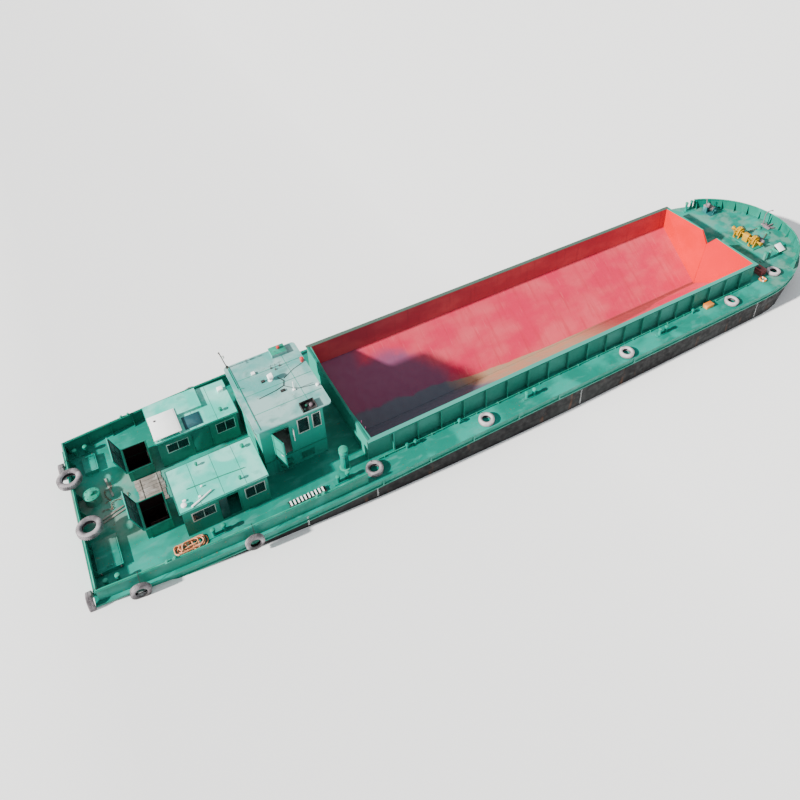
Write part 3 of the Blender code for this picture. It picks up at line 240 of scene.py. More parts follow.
def deck_finish():
    """Deck paint: walked pale on top, deeper green down the sheer strake, weld seams between plates."""
    f = Finish("deck_paint", 0.5, specular=0.2)
    patches = f.patch(0.44, 0.66, 0.75, 6.0, distortion=0.8)
    deck = f.tint(patches, 0.8, (0.001, 0.165, 0.120), (0.010, 0.310, 0.240))
    scuffs = f.patch(0.50, 0.74, 5.5, 7.0, stretch=(0.4, 1.0, 1.0), distortion=0.4)
    deck = f.tint(scuffs, 0.5, deck, (0.060, 0.290, 0.240))
    aft = f.span(f.x, HOLD_AFT - 4.2, HOLD_AFT - 5.4)
    aft = f.sum("MULTIPLY", aft, f.patch(0.40, 0.62, 1.6, 6.0))
    aft = f.sum("MULTIPLY", aft, f.span(f.sum("ABSOLUTE", f.y), 1.3, 0.9))
    deck = f.tint(aft, 0.55, deck, (0.240, 0.250, 0.220))
    stains = f.patch(0.60, 0.76, 1.9, 6.0, offset=(7.0, 2.0, 0.0))
    deck = f.tint(stains, 0.45, deck, (0.020, 0.110, 0.090))
    side = f.mix(f.patch(0.45, 0.75, 2.0, 5.0, stretch=(1.0, 1.0, 0.3)), GREEN, (0.030, 0.260, 0.195))
    runs = f.patch(0.58, 0.78, 10.0, 4.0, stretch=(1.0, 1.0, 0.05))
    side = f.tint(runs, 0.6, side, (0.018, 0.085, 0.065))
    # Painted shade: the deck's sides that face into the wells go near-black.
    inner = f.span(f.sum("ABSOLUTE", f.y), 1.44, 1.42)
    side = f.mix(inner, side, PAINTED_WELL_SHADE)
    top = f.span(f.z, DECK - 0.010, DECK - 0.002)
    bow = f.span(f.x, HOLD_FWD + 0.2, HOLD_FWD + 0.6)
    bow = f.sum("MULTIPLY", bow, f.patch(0.42, 0.62, 2.4, 5.0))
    deck = f.tint(bow, 0.55, deck, (0.150, 0.290, 0.235))
    colour = f.mix(top, side, deck)
    rust = f.patch(0.680, 0.700, 24.0, 6.0, offset=(0.0, 2.2, 5.0))
    colour = f.tint(rust, 0.8, colour, (0.160, 0.090, 0.050))
    f.colour(colour)
    f.rough(f.span(f.noise(4.0), 0.3, 0.7, 0.38, 0.66))
    seams = f.sum("MAXIMUM", f.lines(f.x, 1.45, 0.008), f.lines(f.y, 0.9, 0.008, 0.45))
    f.bump(f.sum("SUBTRACT", f.noise(40.0), seams), 0.003, 0.5)
    return f.material


def hold_red(f, pink=0.0):
    """Colour of the hold's red lead, scoured in long streaks; pink shifts it to a cooler red."""
    fresh = (0.550 + 0.08 * pink, 0.006 + 0.012 * pink, 0.025 + 0.080 * pink)
    pale = (0.640, 0.075, 0.105)
    colour = f.mix(f.patch(0.35, 0.70, 1.3, 6.0, stretch=(0.6, 1.0, 1.0)), fresh, pale)
    streaks = f.patch(0.48, 0.72, 6.0, 6.0, stretch=(1.0, 0.12, 0.12))
    return f.tint(streaks, 0.45, colour, (0.480, 0.014, 0.045))


def hopper_finish():
    """Slopes of the hold with silt left in the valley, widest aft, and the wheelhouse's shadow painted on
    the aft slopes.
    """
    f = Finish("hopper_paint", 0.6, specular=0.3)
    colour = hold_red(f, 0.5)
    # Painted shadow: the shade mask below marks where the wheelhouse's shadow falls on the aft slopes, and
    # the slope is painted dark purple there.
    drift = f.span(f.noise(0.8, 5.0, offset=(2.0, 6.0, 1.0)), 0.3, 0.7, -0.25, 0.25)
    along = f.sum("ADD", f.sum("ADD", f.x, f.y), drift)
    across = f.sum("ADD", f.y, drift)
    wide = f.sum("MAXIMUM", f.span(across, 1.70, 1.20), f.span(f.x, HOLD_AFT + 1.9, HOLD_AFT + 1.2))
    shade = f.sum("MULTIPLY", f.span(along, HOLD_AFT + 4.7, HOLD_AFT + 3.9), wide)
    colour = f.mix(shade, colour, (0.210, 0.060, 0.130))
    reach = f.span(f.x, HOLD_AFT + 8.0, HOLD_AFT + 0.4, 0.025, 0.27)
    wetter = f.span(f.y, 0.05, -0.05, 0.0, 0.5)
    ahead = f.span(f.x, HOLD_AFT + 13.5, HOLD_AFT + 9.5, 0.1, 1.0)
    reach = f.sum("ADD", reach, f.sum("MULTIPLY", wetter, ahead))
    wander = f.span(f.noise(1.1, 5.0), 0.3, 0.7, 0.80, 1.20)
    height = f.sum("SUBTRACT", f.z, VALLEY)
    share = f.sum("DIVIDE", height, f.sum("MULTIPLY", reach, wander))
    silt = f.span(share, 1.15, 0.90)
    tone = f.mix(f.patch(0.35, 0.65, 3.0, 6.0, stretch=(0.5, 1.0, 1.0)), (0.400, 0.225, 0.130),
                 (0.310, 0.250, 0.160))
    tone = f.mix(f.span(f.x, HOLD_AFT + 8.0, HOLD_AFT + 10.5), tone, (0.280, 0.040, 0.040))
    # Painted shadow: silt inside the shade mask turns dark blue-grey.
    tone = f.mix(shade, tone, (0.095, 0.125, 0.160))
    colour = f.tint(silt, 0.95, colour, tone)
    dry = f.sum("SUBTRACT", 1.0, f.sum("MAXIMUM", silt, shade))
    damp = f.sum("MULTIPLY", f.span(share, 1.9, 1.2, 0.0, 0.35), dry)
    colour = f.mix(damp, colour, (0.480, 0.070, 0.075))
    scratch = f.patch(0.62, 0.70, 18.0, 5.0, stretch=(1.0, 0.08, 0.08), offset=(4.0, 0.0, 0.0))
    # Bright scratches are left out of the painted shadow.
    scratch = f.sum("MULTIPLY", scratch, f.sum("SUBTRACT", 1.0, shade))
    colour = f.tint(scratch, 0.25, colour, (0.750, 0.160, 0.180))
    f.colour(colour)
    f.rough(f.span(f.noise(5.0), 0.3, 0.7, 0.42, 0.72))
    seams = f.lines(f.x, 1.45, 0.010)
    f.bump(f.sum("SUBTRACT", f.noise(22.0), seams), 0.004, 0.45)
    return f.material


def bulkhead_finish():
    """End walls of the hold: bright red lead inside with painted shading on the starboard half, green
    outside and on top.
    """
    f = Finish("bulkhead_paint", 0.55, specular=0.2)
    inner = f.mix(f.patch(0.35, 0.7, 1.6, 6.0), (0.560, 0.001, 0.003), (0.620, 0.004, 0.008))
    # Painted shading: the starboard half of the inner face is tinted a cooler red, standing in for its
    # facing a little away from the light.
    inner = f.mix(f.span(f.y, 0.05, -0.05, 0.0, 0.6), inner, (0.560, 0.002, 0.012))
    low = f.span(f.z, VALLEY + 0.9, VALLEY + 0.1, 0.0, 0.35)
    inner = f.mix(low, inner, (0.420, 0.008, 0.014))
    middle = (HOLD_FWD + HOLD_AFT) / 2
    reach = f.sum("ABSOLUTE", f.sum("SUBTRACT", f.x, middle))
    outer = f.span(reach, HOLD_FWD - middle - 0.012, HOLD_FWD - middle - 0.004)
    top = f.span(f.z, COAMING_TOP - 0.006, COAMING_TOP - 0.001)
    colour = f.mix(f.sum("MAXIMUM", outer, top), inner, (0.020, 0.270, 0.200))
    f.colour(colour)
    f.bump(f.noise(18.0, 4.0), 0.003, 0.4)
    return f.material


def coaming_finish():
    """Coaming plate: green outside and on its flange, dark red where it faces the hold."""
    f = Finish("coaming_paint", 0.5, specular=0.25)
    green = f.mix(f.patch(0.42, 0.72, 1.4, 6.0, stretch=(0.5, 1.0, 1.0)), (0.014, 0.170, 0.128),
                  (0.045, 0.235, 0.190))
    runs = f.patch(0.54, 0.78, 8.0, 5.0, stretch=(1.0, 1.0, 0.06))
    green = f.tint(runs, 0.5, green, (0.020, 0.120, 0.100))
    edge = f.span(f.z, COAMING_TOP - 0.036, COAMING_TOP - 0.028)
    green = f.tint(edge, 0.8, green, (0.050, 0.290, 0.235))
    far = f.sum("MULTIPLY", f.span(f.y, 0.0, 0.1), edge)
    green = f.tint(far, 0.85, green, (0.060, 0.070, 0.055))
    red = f.mix(f.patch(0.4, 0.7, 1.5, 6.0, stretch=(0.5, 1.0, 1.0)), (0.420, 0.055, 0.080),
                (0.520, 0.090, 0.105))
    streak = f.patch(0.55, 0.75, 9.0, 5.0, stretch=(1.0, 1.0, 0.08))
    red = f.tint(streak, 0.4, red, (0.260, 0.045, 0.060))
    width = f.sum("ABSOLUTE", f.y)
    inside = f.sum("MULTIPLY", f.span(width, HOLD_HALF - 0.024, HOLD_HALF - 0.028),
                   f.span(f.z, COAMING_TOP - 0.004, COAMING_TOP - 0.010))
    f.colour(f.mix(inside, green, red))
    f.rough(f.span(f.noise(5.0), 0.3, 0.7, 0.38, 0.66))
    f.bump(f.noise(26.0, 3.0), 0.003, 0.4)
    return f.material


def painted_top(name, height, top_paint, top_faded, paint, faded, **rest):
    """Worn paint with a second colour above a height: a roof, or gear on its bed."""
    f = worn_paint(name, paint, faded, GREEN_DARK, **rest)
    below = f.shader.inputs["Base Color"].links[0].from_socket
    above = f.mix(f.patch(0.40, 0.66, 1.5, 6.0, distortion=0.7), top_paint, top_faded)
    stains = f.patch(0.56, 0.74, 4.0, 6.0, offset=(5.0, 1.0, 2.0))
    above = f.tint(stains, 0.35, above, [v * 0.45 for v in top_paint])
    f.colour(f.mix(f.span(f.z, height - 0.002, height + 0.002), below, above))
    return f.material


def companion_finish():
    """Companion coaming: green outside, with painted shade in near-black inside where the well begins."""
    f = worn_paint("companion_paint", (0.006, 0.215, 0.145), (0.035, 0.280, 0.205), GREEN_DARK,
                   fade=0.4, drips=0.4)
    outside = f.shader.inputs["Base Color"].links[0].from_socket
    width = f.sum("ABSOLUTE", f.y)
    inside = f.sum("MULTIPLY", f.span(width, COMPANION_Y[0] + 0.020, COMPANION_Y[0] + 0.028),
                   f.span(width, COMPANION_Y[1] - 0.020, COMPANION_Y[1] - 0.028))
    for edge, way in ((COMPANION_X[0], 1), (COMPANION_X[1], -1)):
        x = HOLD_AFT + edge
        inside = f.sum("MULTIPLY", inside, f.span(f.x, x + way * 0.020, x + way * 0.028))
    rim = DECK + COMPANION_TOP
    inside = f.sum("MULTIPLY", inside, f.span(f.z, rim - 0.002, rim - 0.006))
    # Painted shade: the inside of the well is near-black.
    f.colour(f.mix(inside, outside, PAINTED_WELL_SHADE))
    return f.material


def rubber_finish():
    """Old tyre rubber, greyed and dusty, cracked in fine lines."""
    f = Finish("tyre_rubber", 0.85, specular=0.3)
    colour = f.mix(f.patch(0.35, 0.70, 4.0, 6.0), (0.090, 0.080, 0.088), (0.340, 0.310, 0.330))
    colour = f.mix(f.span(f.noise(28.0, 4.0), 0.5, 0.8, 0.0, 0.5), colour, (0.430, 0.400, 0.410))
    bleached = f.span(f.x, HOLD_AFT + 1.0, HOLD_AFT + 1.2)
    bleached = f.sum("MULTIPLY", bleached, f.span(f.z, DECK + 0.03, DECK + 0.09))
    colour = f.tint(bleached, 0.45, colour, (0.760, 0.680, 0.700))
    # Painted shade: the tyres that hang below the deck on the hull's side are darkened.
    colour = f.mix(f.span(f.z, DECK - 0.02, DECK - 0.10, 0.0, 0.75), colour, (0.045, 0.042, 0.042))
    f.colour(colour)
    f.bump(f.noise(55.0, 4.0), 0.003, 0.6)
    return f.material


def rope_finish():
    """Laid rope: strands that wind round it, faded orange, with painted shade in the grooves between them.
    """
    f = Finish("orange_rope", 0.85, specular=0.2)
    wave = f.node("ShaderNodeTexWave", Vector=f.place, Scale=26.0, Distortion=1.5)
    wave.bands_direction = "DIAGONAL"
    strand = f.span(wave.outputs["Fac"], 0.15, 0.6)
    # Painted shade: the grooves between the strands are dark orange-brown.
    colour = f.mix(strand, (0.360, 0.090, 0.040), (0.960, 0.420, 0.200))
    colour = f.mix(f.span(f.noise(7.0, 5.0), 0.45, 0.75, 0.0, 0.6), colour, (0.960, 0.640, 0.460))
    f.colour(colour)
    f.bump(strand, 0.004, 0.7)
    return f.material


def glass_finish():
    """Tinted window glass, smeared in patches."""
    f = Finish("window_glass", 0.08, specular=0.6)
    f.colour(f.mix(f.patch(0.4, 0.6, 2.0, 3.0), (0.030, 0.050, 0.060), (0.055, 0.085, 0.095)))
    f.shader.inputs["Transmission Weight"].default_value = 0.75
    f.shader.inputs["IOR"].default_value = 1.30
    f.rough(f.span(f.noise(9.0, 4.0), 0.45, 0.75, 0.04, 0.22))
    return f.material


def metal_finish(name, tone, worn, roughness=0.4, metallic=0.8, rust=0.3):
    """Bare metal that is worn in patches and rusts in spots, which don't shine."""
    f = Finish(name, roughness, metallic)
    colour = f.mix(f.patch(0.35, 0.7, 8.0, 5.0), tone, worn)
    spots = f.patch(0.66 - 0.2 * rust, 0.74 - 0.2 * rust, 15.0, 6.0, offset=(1.0, 4.0, 0.0))
    colour = f.tint(spots, 0.8, colour, (0.210, 0.085, 0.035))
    f.colour(colour)
    f.put(f.shader.inputs["Metallic"], f.span(spots, 0.0, 1.0, metallic, 0.05))
    f.rough(f.span(f.noise(11.0), 0.3, 0.7, roughness - 0.1, roughness + 0.2))
    f.bump(f.noise(45.0), 0.002, 0.4)
    return f.material


def lamp_finish(name, tone):
    """Coloured lamp glass under a clear coat."""
    f = Finish(name, 0.18, specular=0.6)
    f.colour(f.mix(f.patch(0.4, 0.7, 14.0), tone, [v * 0.6 for v in tone]))
    f.shader.inputs["Coat Weight"].default_value = 0.6
    return f.material


def house_finish():
    """Deckhouses: deep green walls under a pale green roof."""
    return painted_top("house_paint", DECK + HOUSE_TOP - 0.031, (0.040, 0.500, 0.390),
                       (0.200, 0.620, 0.530),
                       GREEN, GREEN_FADED, fade=0.4, drips=0.5)


def windlass_finish():
    """The windlass's frame: yellow above its green bed."""
    return painted_top("windlass_paint", DECK + 0.044, YELLOW, YELLOW_FADED, GREEN, GREEN_FADED, scale=2.0)


OWN_FINISHES = {
    "hull": hull_finish, "deck": deck_finish, "hopper": hopper_finish, "bulkhead": bulkhead_finish,
    "coaming": coaming_finish, "rubber": rubber_finish, "rope": rope_finish, "glass": glass_finish,
    "house": house_finish, "windlass": windlass_finish, "companion": companion_finish,
}

# Worn paints: the material's name, the paint fresh and faded, the dirt on it and what differs from the rest
PAINTS = {
    "bulwark": ("bulwark_paint", (0.002, 0.160, 0.110), (0.014, 0.215, 0.165), GREEN_DARK,
                dict(fade=0.5, soil=0.35, drips=0.5)),
    "wall": ("wall_paint", (0.006, 0.270, 0.200), (0.045, 0.340, 0.270), GREEN_DARK,
             dict(fade=0.4, soil=0.3, drips=0.5)),
    "roof": ("roof_paint", (0.075, 0.310, 0.285), (0.280, 0.450, 0.430), (0.070, 0.210, 0.190),
             dict(fade=0.75, soil=0.45, chips=0.05, scale=1.3)),
    "planks": ("deck_planks", (0.190, 0.165, 0.145), (0.330, 0.310, 0.285), (0.060, 0.050, 0.045),
               dict(scale=4.0, chips=0.0, roughness=0.8)),
    "gear_green": ("gear_green", (0.004, 0.230, 0.150), (0.040, 0.330, 0.240), GREEN_DARK,
                   dict(scale=3.0, chips=0.08)),
    "gear_teal": ("gear_teal", (0.010, 0.110, 0.115), (0.060, 0.240, 0.240), (0.010, 0.045, 0.045),
                  dict(scale=3.0, chips=0.08)),
    "yellow": ("yellow_paint", YELLOW, YELLOW_FADED, (0.160, 0.080, 0.010),
               dict(scale=3.0, chips=0.09, roughness=0.45)),
    "white": ("white_paint", (0.900, 0.910, 0.905), (0.960, 0.965, 0.960), (0.560, 0.570, 0.550),
              dict(fade=0.5, soil=0.15, scale=2.0, chips=0.02, roughness=0.4)),
    "mauve": ("grey_primer", (0.165, 0.120, 0.140), (0.300, 0.240, 0.260), (0.060, 0.045, 0.055),
              dict(scale=3.0, chips=0.08)),
    "box_red": ("box_red", (0.210, 0.045, 0.050), (0.320, 0.110, 0.110), (0.080, 0.030, 0.030),
                dict(scale=3.0)),
    "orange": ("orange_paint", (0.620, 0.170, 0.020), (0.700, 0.270, 0.070), (0.350, 0.140, 0.060),
               dict(scale=3.0)),
    "engine": ("engine_paint", (0.040, 0.018, 0.018), (0.080, 0.035, 0.032), (0.015, 0.010, 0.010),
               dict(scale=3.0)),
    # Dark teal that paints the shade on the companion lids' open inner faces; the starboard house's door
    # leaf takes it too.
    "lid_inside": ("lid_inside_paint", (0.012, 0.050, 0.048), (0.040, 0.095, 0.090), (0.010, 0.020, 0.020),
                   dict(scale=2.0)),
    "slate": ("slate_sheet", (0.011, 0.062, 0.078), (0.026, 0.094, 0.110), (0.010, 0.040, 0.048),
              dict(scale=2.0)),
    "inside": ("inside_paint", (0.330, 0.360, 0.330), (0.460, 0.480, 0.450), (0.160, 0.150, 0.130),
               dict(scale=2.0)),
    "wood": ("varnished_wood", (0.230, 0.105, 0.045), (0.330, 0.180, 0.090), (0.090, 0.045, 0.022),
             dict(scale=4.0, chips=0.0, roughness=0.35)),
    "black": ("black_rubber", (0.020, 0.020, 0.021), (0.060, 0.060, 0.060), (0.090, 0.080, 0.070),
              dict(scale=4.0, roughness=0.7)),
}

# Metals: the material's name, its tone and where worn, and roughness, metallic and rust where they differ
METALS = {
    "steel": ("dark_steel", (0.130, 0.125, 0.130), (0.230, 0.220, 0.220)),
    "chain": ("chain_iron", (0.140, 0.110, 0.095), (0.260, 0.220, 0.200), 0.6, 0.6, 0.9),
    "frame": ("window_frame", (0.520, 0.540, 0.530), (0.680, 0.690, 0.680), 0.35, 0.6, 0.05),
    "bronze": ("bronze", (0.520, 0.330, 0.120), (0.300, 0.210, 0.110), 0.35, 0.95, 0.0),
}

LAMPS = {
    "lamp_red": (0.650, 0.030, 0.035),
    "lamp_green": (0.008, 0.100, 0.060),
    "lamp_white": (0.800, 0.800, 0.760),
}

MADE = {}


def make_finish(key):
    """The material for a key, from one of the tables or its own function."""
    if key in PAINTS:
        name, paint, faded, dirt, rest = PAINTS[key]
        return worn_paint(name, paint, faded, dirt, **rest).material
    if key in METALS:
        return metal_finish(*METALS[key])
    if key in LAMPS:
        return lamp_finish(key, LAMPS[key])
    return OWN_FINISHES[key]()


def finish(key):
    """The named finish, made once."""
    if key not in MADE:
        MADE[key] = make_finish(key)
    return MADE[key]


def dress(key, *nodes):
    """Gives CAD nodes a finish."""
    for node in nodes:
        mesh = NODES[node].data
        mesh.materials.clear()
        mesh.materials.append(finish(key))


# Mesh pieces

UP = Vector((0, 0, 1))
TO_PORT = Vector((0, 1, 0))
# The gap under a piece that stands on a surface, the gap behind one that lies on it, and the angle
# above which an edge stays sharp
SEAT = 0.001
HAIR = 0.0005
SHARP = math.radians(38)


def angles(count):
    """Angles spread evenly round a circle."""
    return [2 * math.pi * i / count for i in range(count)]



class Piece:
    """A mesh that plain shapes are added to, each at its place on the vessel."""

    def __init__(self, name):
        self.name = name
        self.mesh = bmesh.new()

    def loft(self, rings):
        """A skin over rings of points, capped at both ends."""
        rows = [[self.mesh.verts.new(point) for point in ring] for ring in rings]
        count = len(rows[0])
        for low, high in zip(rows, rows[1:]):
            for i in range(count):
                j = (i + 1) % count
                self.mesh.faces.new((low[i], low[j], high[j], high[i]))
        self.mesh.faces.new(list(reversed(rows[0])))
        self.mesh.faces.new(rows[-1])
        return self

    def block(self, corner, opposite, turn=None):
        """A box between two opposite corners."""
        (x0, x1), (y0, y1), (z0, z1) = (sorted(pair) for pair in zip(corner, opposite))
        rings = [[(x0, y0, z), (x1, y0, z), (x1, y1, z), (x0, y1, z)] for z in (z0, z1)]
        if turn:
            rings = [[turn @ Vector(point) for point in ring] for ring in rings]
        return self.loft(rings)

    def box(self, centre, size, turn=None):
        """A box that stands on a point, turned about it."""
        centre, half = Vector(centre), Vector(size) / 2
        low = Vector((-half.x, -half.y, 0))
        high = Vector((half.x, half.y, size[2]))
        place = Matrix.Translation(centre) @ (turn.to_4x4() if turn else Matrix())
        return self.block(low, high, place)

    def bar(self, start, end, radius, sides=10, end_radius=None):
        """A round bar, or a cone where its end has a radius of its own."""
        way = Vector(end) - Vector(start)
        return self.turned(start, way, [(0, radius), (way.length, end_radius or radius)], sides)

    def turned(self, centre, axis, profile, sides=24):
        """A solid turned about an axis, from (along, radius) pairs."""
        centre = Vector(centre)
        turn = UP.rotation_difference(Vector(axis))
        return self.loft([[centre + turn @ Vector((radius * math.cos(a), radius * math.sin(a), along))
                           for a in angles(sides)] for along, radius in profile])

    def wrap(self, rows):
        """A closed skin over closed rows of points, the last row joined to the first."""
        rows = [[self.mesh.verts.new(point) for point in row] for row in rows]
        for near, far in zip(rows, rows[1:] + rows[:1]):
            for k in range(len(near)):
                j = (k + 1) % len(near)
                self.mesh.faces.new((near[k], far[k], far[j], near[j]))
        return self

    def swept(self, centre, axis, section, sides):
        """A closed section of (radius, along) pairs taken round an axis."""
        centre = Vector(centre)
        turn = UP.rotation_difference(Vector(axis))
        return self.wrap([[centre + turn @ Vector((r * math.cos(a), r * math.sin(a), h)) for r,
                           h in section]
                          for a in angles(sides)])

    def ring(self, centre, axis, radius, thickness, sides=24, section=8):
        """A round bar bent into a ring."""
        round_bar = [(radius + thickness * math.cos(b), thickness * math.sin(b)) for b in angles(section)]
        return self.swept(centre, axis, round_bar, sides)

    def pipe(self, points, radius, sides=8):
        """A round bar through points, mitred at each."""
        points = [Vector(p) for p in points]
        rings = []
        guide = None
        for i, here in enumerate(points):
            before = (here - points[i - 1]).normalized() if i else None
            after = (points[i + 1] - here).normalized() if i + 1 < len(points) else None
            way = ((before or after) + (after or before)).normalized()
            if guide is None:
                guide = way.orthogonal().normalized()
            guide = (guide - way * guide.dot(way)).normalized()
            across = way.cross(guide)
            stretch = 1 / max(0.35, way.dot(after or before))
            reach = radius * stretch
            rings.append([here + guide * reach * math.cos(a) + across * reach * math.sin(a)
                          for a in angles(sides)])
        return self.loft(rings)

    def upright(self, outline, y0, y1):
        """A plate with an outline of (x, z) points that stands across Y."""
        return self.loft([[(x, y, z) for x, z in outline] for y in (y0, y1)])

    def done(self, key, body="barge", bevel=0.0, smooth=False, slot=None, replaces=()):
        """Makes the object, rounds its edges and lets it ride on a body."""
        bmesh.ops.recalc_face_normals(self.mesh, faces=self.mesh.faces)
        if bevel:
            sharp = [e for e in self.mesh.edges if len(e.link_faces) == 2 and e.calc_face_angle(0) > 0.9]
            bmesh.ops.bevel(self.mesh, geom=sharp, offset=bevel, segments=2, profile=0.5, affect="EDGES",
                            clamp_overlap=True)
        mesh = bpy.data.meshes.new(self.name)
        self.mesh.to_mesh(mesh)
        self.mesh.free()
        return place(self.name, mesh, key, body, smooth or bool(bevel), slot, replaces)


def place(name, mesh, key, body="barge", smooth=False, slot=None, replaces=()):
    """Puts a finished mesh in the scene on its body."""
    if smooth:
        mesh.shade_smooth()
        mesh.set_sharp_from_angle(angle=SHARP)
    item = bpy.data.objects.new(name, mesh)
    bpy.context.scene.collection.objects.link(item)
    if key:
        mesh.materials.clear()
        mesh.materials.append(finish(key))
    if replaces:
        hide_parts(*replaces)
    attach(item, body)
    return item


# Geometry Nodes: units repeated along a path or on points

def new_tree(name, sockets):
    tree = bpy.data.node_groups.new(name, "GeometryNodeTree")
    tree.interface.new_socket("Geometry", in_out="INPUT", socket_type="NodeSocketGeometry")
    for label, kind, default in sockets:
        made = tree.interface.new_socket(label, in_out="INPUT", socket_type=kind)
        if default is not None:
            made.default_value = default
    tree.interface.new_socket("Geometry", in_out="OUTPUT", socket_type="NodeSocketGeometry")
    return tree


def join(tree, pairs):
    """Links each pair's output to its input."""
    for start, end in pairs:
        tree.links.new(start, end)


def repeat_units(tree, group_in, points, rotation):
    """The end that both trees share: the unit on each point, turned, scaled, made real and painted."""
    nodes = tree.nodes
    unit = nodes.new("GeometryNodeObjectInfo")
    instances = nodes.new("GeometryNodeInstanceOnPoints")
    real = nodes.new("GeometryNodeRealizeInstances")
    paint = nodes.new("GeometryNodeSetMaterial")
    group_out = nodes.new("NodeGroupOutput")
    join(tree, (
        (group_in.outputs["Unit"], unit.inputs[0]),
        (points, instances.inputs["Points"]),
        (unit.outputs["Geometry"], instances.inputs["Instance"]),
        (rotation, instances.inputs["Rotation"]),
        (group_in.outputs["Size"], instances.inputs["Scale"]),
        (instances.outputs[0], real.inputs[0]),
        (real.outputs[0], paint.inputs["Geometry"]),
        (group_in.outputs["Paint"], paint.inputs["Material"]),
        (paint.outputs[0], group_out.inputs[0]),
    ))
    return tree


def repeat_tree(upright):
    """Units along a path: each faces along it, every second one twisted, and stands upright if wanted."""
    label = "Uprights Along Path" if upright else "Units Along Path"
    found = bpy.data.node_groups.get(label)
    if found:
        return found
    tree = new_tree(label, [
        ("Unit", "NodeSocketObject", None), ("Count", "NodeSocketInt", 12),
        ("Size", "NodeSocketFloat", 1.0),
        ("Twist", "NodeSocketFloat", 0.0), ("Paint", "NodeSocketMaterial", None)])
    nodes = tree.nodes
    group_in = nodes.new("NodeGroupInput")
    curve = nodes.new("GeometryNodeMeshToCurve")
    spaced = nodes.new("GeometryNodeResampleCurve")
    tangent = nodes.new("GeometryNodeInputTangent")
    align = nodes.new("FunctionNodeAlignEulerToVector")
    align.axis = "X"
    align.pivot_axis = "Z" if upright else "AUTO"
    index = nodes.new("GeometryNodeInputIndex")
    odd = nodes.new("ShaderNodeMath")
    odd.operation = "MODULO"
    odd.inputs[1].default_value = 2.0
    angle = nodes.new("ShaderNodeMath")
    angle.operation = "MULTIPLY"
    turn = nodes.new("FunctionNodeRotateEuler")
    turn.rotation_type = "AXIS_ANGLE"
    turn.space = "LOCAL"
    turn.inputs["Axis"].default_value = (1, 0, 0)
    join(tree, (
        (group_in.outputs["Geometry"], curve.inputs[0]),
        (curve.outputs[0], spaced.inputs["Curve"]),
        (group_in.outputs["Count"], spaced.inputs["Count"]),
        (tangent.outputs[0], align.inputs["Vector"]),
        (index.outputs[0], odd.inputs[0]),
        (odd.outputs[0], angle.inputs[0]),
        (group_in.outputs["Twist"], angle.inputs[1]),
        (align.outputs[0], turn.inputs["Rotation"]),
        (angle.outputs[0], turn.inputs["Angle"]),
    ))
    return repeat_units(tree, group_in, spaced.outputs[0], turn.outputs[0])


def points_tree():
    """Units on points: each turned by the point's own angles."""
    found = bpy.data.node_groups.get("Units On Points")
    if found:
        return found
    tree = new_tree("Units On Points", [("Unit", "NodeSocketObject", None),
                                        ("Size", "NodeSocketFloat", 1.0),
                                        ("Paint", "NodeSocketMaterial", None)])
    group_in = tree.nodes.new("NodeGroupInput")
    turns = tree.nodes.new("GeometryNodeInputNamedAttribute")
    turns.data_type = "FLOAT_VECTOR"
    turns.inputs["Name"].default_value = "angles"
    return repeat_units(tree, group_in, group_in.outputs["Geometry"], turns.outputs[0])


def run_tree(name, tree, carrier, values, key, body, slot=None):
    """Evaluates a tree on a carrier mesh and keeps the result as a plain piece."""
    item = bpy.data.objects.new(name + "_carrier", carrier)
    bpy.context.scene.collection.objects.link(item)
    modifier = item.modifiers.new("units", "NODES")
    modifier.node_group = tree
    for socket in tree.interface.items_tree:
        if socket.in_out == "INPUT" and socket.name in values:
            modifier[socket.identifier] = values[socket.name]
    view = bpy.context.evaluated_depsgraph_get()
    mesh = bpy.data.meshes.new_from_object(item.evaluated_get(view))
    mesh.name = name
    bpy.data.objects.remove(item, do_unlink=True)
    if not mesh.vertices:
        raise RuntimeError(name + ": the tree made nothing")
    return place(name, mesh, key, body, True, slot)


def unit_object(piece):
    """A small shape at the origin that a tree repeats; it is removed after use."""
    bmesh.ops.recalc_face_normals(piece.mesh, faces=piece.mesh.faces)
    mesh = bpy.data.meshes.new(piece.name)
    piece.mesh.to_mesh(mesh)
    piece.mesh.free()
    item = bpy.data.objects.new(piece.name, mesh)
    bpy.context.scene.collection.objects.link(item)
    return item


def along_path(name, unit, path, count, key, body="barge", size=1.0, twist=0.0, upright=False, slot=None):
    """Repeats a unit along a path of points."""
    carrier = bpy.data.meshes.new(name + "_path")
    edges = [(i, i + 1) for i in range(len(path) - 1)]
    carrier.from_pydata([tuple(p) for p in path], edges, [])
    item = unit_object(unit)
    values = {"Unit": item, "Count": count, "Size": size, "Twist": twist, "Paint": finish(key)}
    made = run_tree(name, repeat_tree(upright), carrier, values, key, body, slot)
    bpy.data.objects.remove(item, do_unlink=True)
    return made


def on_points(name, unit, places, key, body="barge", size=1.0, slot=None):
    """Repeats a unit on (point, (turn x, turn y, turn z)) rows."""
    carrier = bpy.data.meshes.new(name + "_points")
    carrier.from_pydata([tuple(p) for p, _ in places], [], [])
    store = carrier.attributes.new("angles", "FLOAT_VECTOR", "POINT")
    store.data.foreach_set("vector", [v for _, turn in places for v in turn])
    item = unit_object(unit)
    values = {"Unit": item, "Size": size, "Paint": finish(key)}
    made = run_tree(name, points_tree(), carrier, values, key, body, slot)
    bpy.data.objects.remove(item, do_unlink=True)
    return made


# Settings

class BargeStageSettings(bpy.types.PropertyGroup):
    key_strength: FloatProperty(name="Key light", description="Strength of the soft key light",
                                default=12.0, min=0.0)
    fill_strength: FloatProperty(name="Surround", description="Strength of the surrounding light",
                                 default=0.75, min=0.0)
    floor_tone: FloatVectorProperty(name="Floor", description="Colour of the pale floor", subtype="COLOR",
                                    default=(0.965, 0.97, 0.975), min=0.0, max=1.0)


